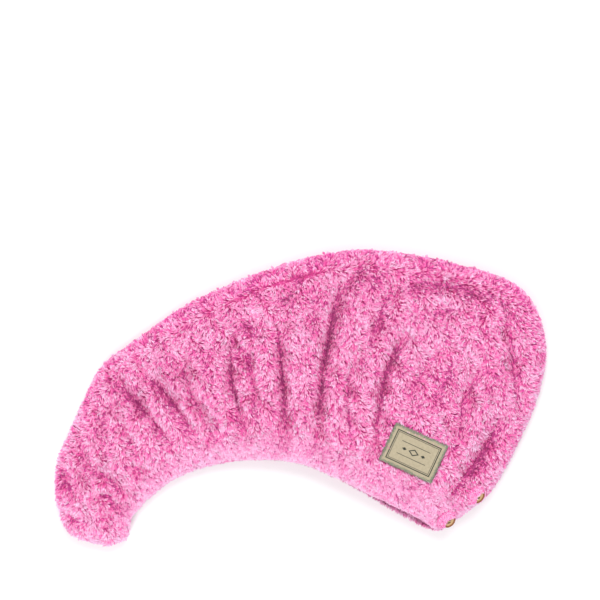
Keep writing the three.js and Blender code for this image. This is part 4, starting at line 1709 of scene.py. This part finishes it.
@dataclass(frozen=True)
class Buttons:
    """The two turned wooden buttons and the threads that hold them. Lengths in millimetres."""

    pocket: Pocket
    specs: tuple[ButtonSpec, ...] = (
        ButtonSpec("button_nape", 20.7, -0.66, -47, 50),
        ButtonSpec("button_back", 20.85, 0.13, -36, 48),
    )
    diameter: float = 18.5
    thickness: float = 3.6
    rim: float = 2.6
    dish: float = 1.2
    hole: float = 2.0
    hole_depth: float = 1.7
    hole_ease: float = 0.35
    hole_edge: float = 0.2
    dish_ease: float = 0.4
    spacing: float = 3.6
    pole: float = 0.05
    gap: float = 0.3
    sides: int = 64
    strand: float = 0.28
    strand_radius: float = 0.3

    # From the middle of the back to the edge of the dish: share of the rim's width taken in from the
    # edge, share of the thickness, and share of the dish's depth taken off
    PROFILE = np.array(
        [
            [0.57, 0.00, 0.00],
            [0.10, 0.28, 0.00],
            [0.00, 0.60, 0.00],
            [0.25, 0.92, 0.00],
            [0.60, 1.00, 0.00],
            [1.00, 1.00, 0.55],
            [1.75, 1.00, 1.00],
        ]
    )

    # Along a thread: share of half the holes' spacing, a way added to it, and height over the dish
    STRAND = np.array(
        [[-1, 0.0, -1.2], [-1, 0.1, 0.25], [0, 0.0, 0.55], [1, -0.1, 0.25], [1, 0.0, -1.2]]
    )

    def frame(self, spec: ButtonSpec) -> tuple[Array, Array]:
        """Turn and place of a button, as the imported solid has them.

        Args:
            spec: The button.

        Returns:
            A 3 by 3 turn that takes +Z to the face's normal the shortest way, and the place.
        """
        facing, rise = math.radians(spec.facing), math.radians(spec.rise)
        normal = np.array(
            [math.cos(rise) * math.cos(facing), math.cos(rise) * math.sin(facing), math.sin(rise)]
        )
        axis = np.cross([0.0, 0.0, 1.0], normal)
        cross = np.array([[0, -axis[2], axis[1]], [axis[2], 0, -axis[0]], [-axis[1], axis[0], 0]])
        turn = np.eye(3) + cross + cross @ cross / (1 + normal[2])
        point, _, _ = self.pocket.skin(Side.UPPER, np.array([spec.row]), np.array([[spec.across]]), 0.0)
        return turn, point[0, 0] / MM + normal * self.gap

    def body(self) -> tuple[Array, Array]:
        """Button in its own frame: a profile turned round, with four holes pressed into the dish.

        Returns:
            Points and quads.
        """
        radius = self.diameter / 2
        inner, up, dish = self.PROFILE.T
        line = np.stack([radius - inner * self.rim, up * self.thickness - dish * self.dish, 0 * up], -1)
        edge = splined(line, 40)[:, :2]
        floor = self.thickness - self.dish
        back = np.stack([np.linspace(self.pole, edge[0, 0], 8)[:-1], np.zeros(7)], -1)
        face = np.stack([np.linspace(edge[-1, 0], self.pole, 34)[1:], np.full(33, floor)], -1)
        profile = np.concatenate([back, edge, face])
        turn = np.linspace(0.0, 2 * math.pi, self.sides, endpoint=False)
        x, y = profile[:, :1] * np.cos(turn), profile[:, :1] * np.sin(turn)
        z = np.repeat(profile[:, 1:], self.sides, 1)
        hollow = np.zeros_like(z)
        for sx, sy in ((1, 1), (1, -1), (-1, 1), (-1, -1)):
            gap = np.hypot(x - sx * self.spacing / 2, y - sy * self.spacing / 2)
            inside = 1 - smooth((gap - self.hole / 2 + self.hole_edge) / self.hole_ease)
            hollow = np.maximum(hollow, inside)
        z = z - np.where(z > floor - self.dish_ease, hollow * self.hole_depth, 0.0)
        return lofted(np.stack([x, y, z], -1)[::-1])

    def threads(self) -> tuple[Array, Array, Array]:
        """Two pairs of threads between the holes, each a low arch that goes down into them."""
        half, floor = self.spacing / 2, self.thickness - self.dish
        share, way, height = self.STRAND.T
        parts = []
        for side in (-1, 1):
            for strand in (-self.strand, self.strand):
                y = np.full(len(share), side * half + strand)
                route = np.stack([share * half + way, y, floor + height], -1)
                parts.append(swept(splined(route, 18), self.strand_radius, 8))
        return joined(parts)

    def build(self) -> None:
        """Makes both buttons with their threads."""
        wood = WoodFinish().make()
        yarn = ThreadFinish("button_thread", (0.05, 0.03, 0.02), (0.16, 0.10, 0.07)).make()
        for spec in self.specs:
            turn, place = self.frame(spec)
            points, quads = self.body()
            disc = new_object(f"{spec.name}_wood", (points @ turn.T + place) * MM, quads)
            set_values(disc, "turned", points)
            dress(disc, wood, "button_wood", spec.name)
            points, quads, grid = self.threads()
            thread = new_object(f"{spec.name}_thread", (points @ turn.T + place) * MM, quads)
            set_map(thread, "thread", grid)
            dress(thread, yarn)
            LOG.info("%s and its thread", spec.name)


@dataclass(frozen=True)
class Nests:
    """Pile that falls over the upper half of each button. Lengths in millimetres."""

    buttons: Buttons
    count: int = 1100
    seed: int = 57
    spread: float = 1.45
    bunching: float = 1.6
    radii: tuple[float, float] = (8.4, 15.0)
    height: tuple[float, float] = (0.8, 3.6)
    slope: float = 0.8
    reach: tuple[float, float] = (1.5, 4.6)
    lift: tuple[float, float] = (1.2, 3.6)
    inward: tuple[float, float] = (0.4, 0.8)
    sway: float = 0.4
    fall: tuple[float, float] = (0.6, 0.4)
    half_width: float = 0.8
    width_range: tuple[float, float] = (0.7, 1.3)
    rise: float = 1.2
    tone: tuple[float, float] = (0.5, 0.24)

    def build(self) -> None:
        """Roots an arc of tufts round the high side of each button, leaning in over its face."""
        rng = np.random.default_rng(self.seed)
        finish = PileFinish("plush_pile_nest").make()

        def drawn(limits: tuple[float, float]) -> Array:
            """Numbers between two limits, one a tuft."""
            return rng.uniform(*limits, self.count)[:, None]

        for spec in self.buttons.specs:
            turn, place = self.buttons.frame(spec)
            normal = turn[:, 2]
            high = unit(np.array([0.0, 0.0, 1.0]) - normal * normal[2])
            beside = np.cross(normal, high)
            angle = self.spread * (2 * rng.beta(self.bunching, self.bunching, self.count) - 1)
            out = np.cos(angle)[:, None] * high + np.sin(angle)[:, None] * beside
            radius = drawn(self.radii)
            up = drawn(self.height) - self.slope * (radius - self.radii[0])
            root = place + out * radius + normal * up
            sway = rng.normal(0.0, self.sway, self.count)[:, None]
            inward = unit(-self.inward[0] * out - self.inward[1] * high + np.cross(normal, out) * sway)
            fall = (self.fall[0] + self.fall[1] * np.cos(angle))[:, None]
            reach = drawn(self.reach) * fall
            tip = root + inward * reach + normal * drawn(self.lift)
            side = np.cross(normal, inward) * (self.half_width * drawn(self.width_range))
            tone = np.clip(rng.normal(*self.tone, self.count), *TONES)
            rise = normal * np.full((self.count, 1), self.rise)
            item = LONG.locks(f"{spec.name}_nest", root * MM, tip * MM, side * MM, rise * MM, tone)
            dress(item, finish, "plush")


@dataclass(frozen=True)
class TailLoop:
    """The elastic loop folded under the tail tip."""

    diameter: float = 2.4 * MM
    rings: int = 90
    sides: int = 14

    def build(self) -> None:
        path = splined(LOOP_ROUTE * MM, self.rings)
        points, quads, grid = swept(path, self.diameter / 2, self.sides)
        item = new_object("tail_loop_elastic", points, quads)
        set_map(item, "thread", grid)
        elastic = ThreadFinish("elastic", (0.60, 0.10, 0.27), (0.88, 0.36, 0.56), 9.0)
        dress(item, elastic.make(), "elastic", "tail_loop")
        length = float(steps(path).sum())
        LOG.info("tail_loop_elastic: %.1f mm long", length / MM)


@dataclass(frozen=True)
class SoftLight:
    """A square light: its place, the length of a side and its power."""

    name: str
    place: tuple[float, float, float]
    size: float
    power: float


@dataclass(frozen=True)
class Studio:
    """Pale floor, soft light and the camera straight above."""

    frame_width: float = 0.750
    frame_middle: tuple[float, float] = (-0.0006, 0.1225)
    frame_height: float = 0.018
    lens: float = 85.0
    sensor: float = 36.0
    clip_end: float = 50.0
    floor_size: float = 12.0
    world: float = 0.64
    light_aim: tuple[float, float, float] = (0.0, 0.05, 0.0)
    lights: tuple[SoftLight, ...] = (
        SoftLight("front", (-0.5, -1.2, 1.5), 1.0, 16.0),
        SoftLight("back", (0.2, 1.5, 1.8), 1.3, 31.0),
    )

    def camera(self) -> None:
        """Camera looking straight down, so that its frame is as wide as the photograph's."""
        data = bpy.data.cameras.new("camera")
        data.lens, data.sensor_width = self.lens, self.sensor
        data.clip_end = self.clip_end
        item = bpy.data.objects.new("camera", data)
        reach = self.frame_width * self.lens / self.sensor
        item.location = (*self.frame_middle, self.frame_height + reach)
        bpy.context.scene.collection.objects.link(item)
        bpy.context.scene.camera = item

    def shine(self, light: SoftLight) -> None:
        """Square soft light that looks at the middle of the towel.

        Args:
            light: The light.
        """
        data = bpy.data.lights.new(light.name, "AREA")
        data.size, data.energy = light.size, light.power
        item = bpy.data.objects.new(light.name, data)
        item.location = light.place
        way = Vector(light.place) - Vector(self.light_aim)
        item.rotation_euler = way.to_track_quat("Z", "Y").to_euler()
        bpy.context.scene.collection.objects.link(item)

    def build(self) -> None:
        """Makes the floor, the lights and the world."""
        half = self.floor_size / 2
        corners = np.array([[-half, -half, 0], [half, -half, 0], [half, half, 0], [-half, half, 0]])
        floor = new_object("studio_floor", corners, np.array([[0, 1, 2, 3]]), shade_smooth=False)
        floor.data.materials.append(FloorFinish().make())
        floor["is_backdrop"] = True
        for light in self.lights:
            self.shine(light)
        world = bpy.data.worlds.new("studio")
        world.use_nodes = True
        background = world.node_tree.nodes["Background"]
        background.inputs["Color"].default_value = (1.0, 1.0, 1.0, 1.0)
        background.inputs["Strength"].default_value = self.world
        bpy.context.scene.world = world
        settings = bpy.context.scene.view_settings
        settings.view_transform = "Standard"
        settings.look = "None"


def main() -> None:
    """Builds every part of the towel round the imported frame."""
    logging.basicConfig(level=logging.INFO, format="%(name)s: %(message)s")
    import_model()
    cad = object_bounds()
    studio = Studio()
    studio.camera()
    TailLoop().build()
    pocket = Pocket()
    skins = PlushPocket(pocket).build()
    Pile(pocket, skins).build()
    WovenPatch(pocket).build()
    buttons = Buttons(pocket)
    buttons.build()
    Nests(buttons).build()
    studio.build()
    boxes = {"cad": cad, "visual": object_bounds()}
    {name: [list(corner) for corner in box] for name, box in boxes.items()}
    LOG.info("%d triangles", sum(len(mesh.loops) - 2 * len(mesh.polygons) for mesh in bpy.data.meshes))
    for name, box in boxes.items():
        LOG.info("%s box: %s", name, [np.round(corner, 4).tolist() for corner in box])


if __name__ == "__main__":
    main()
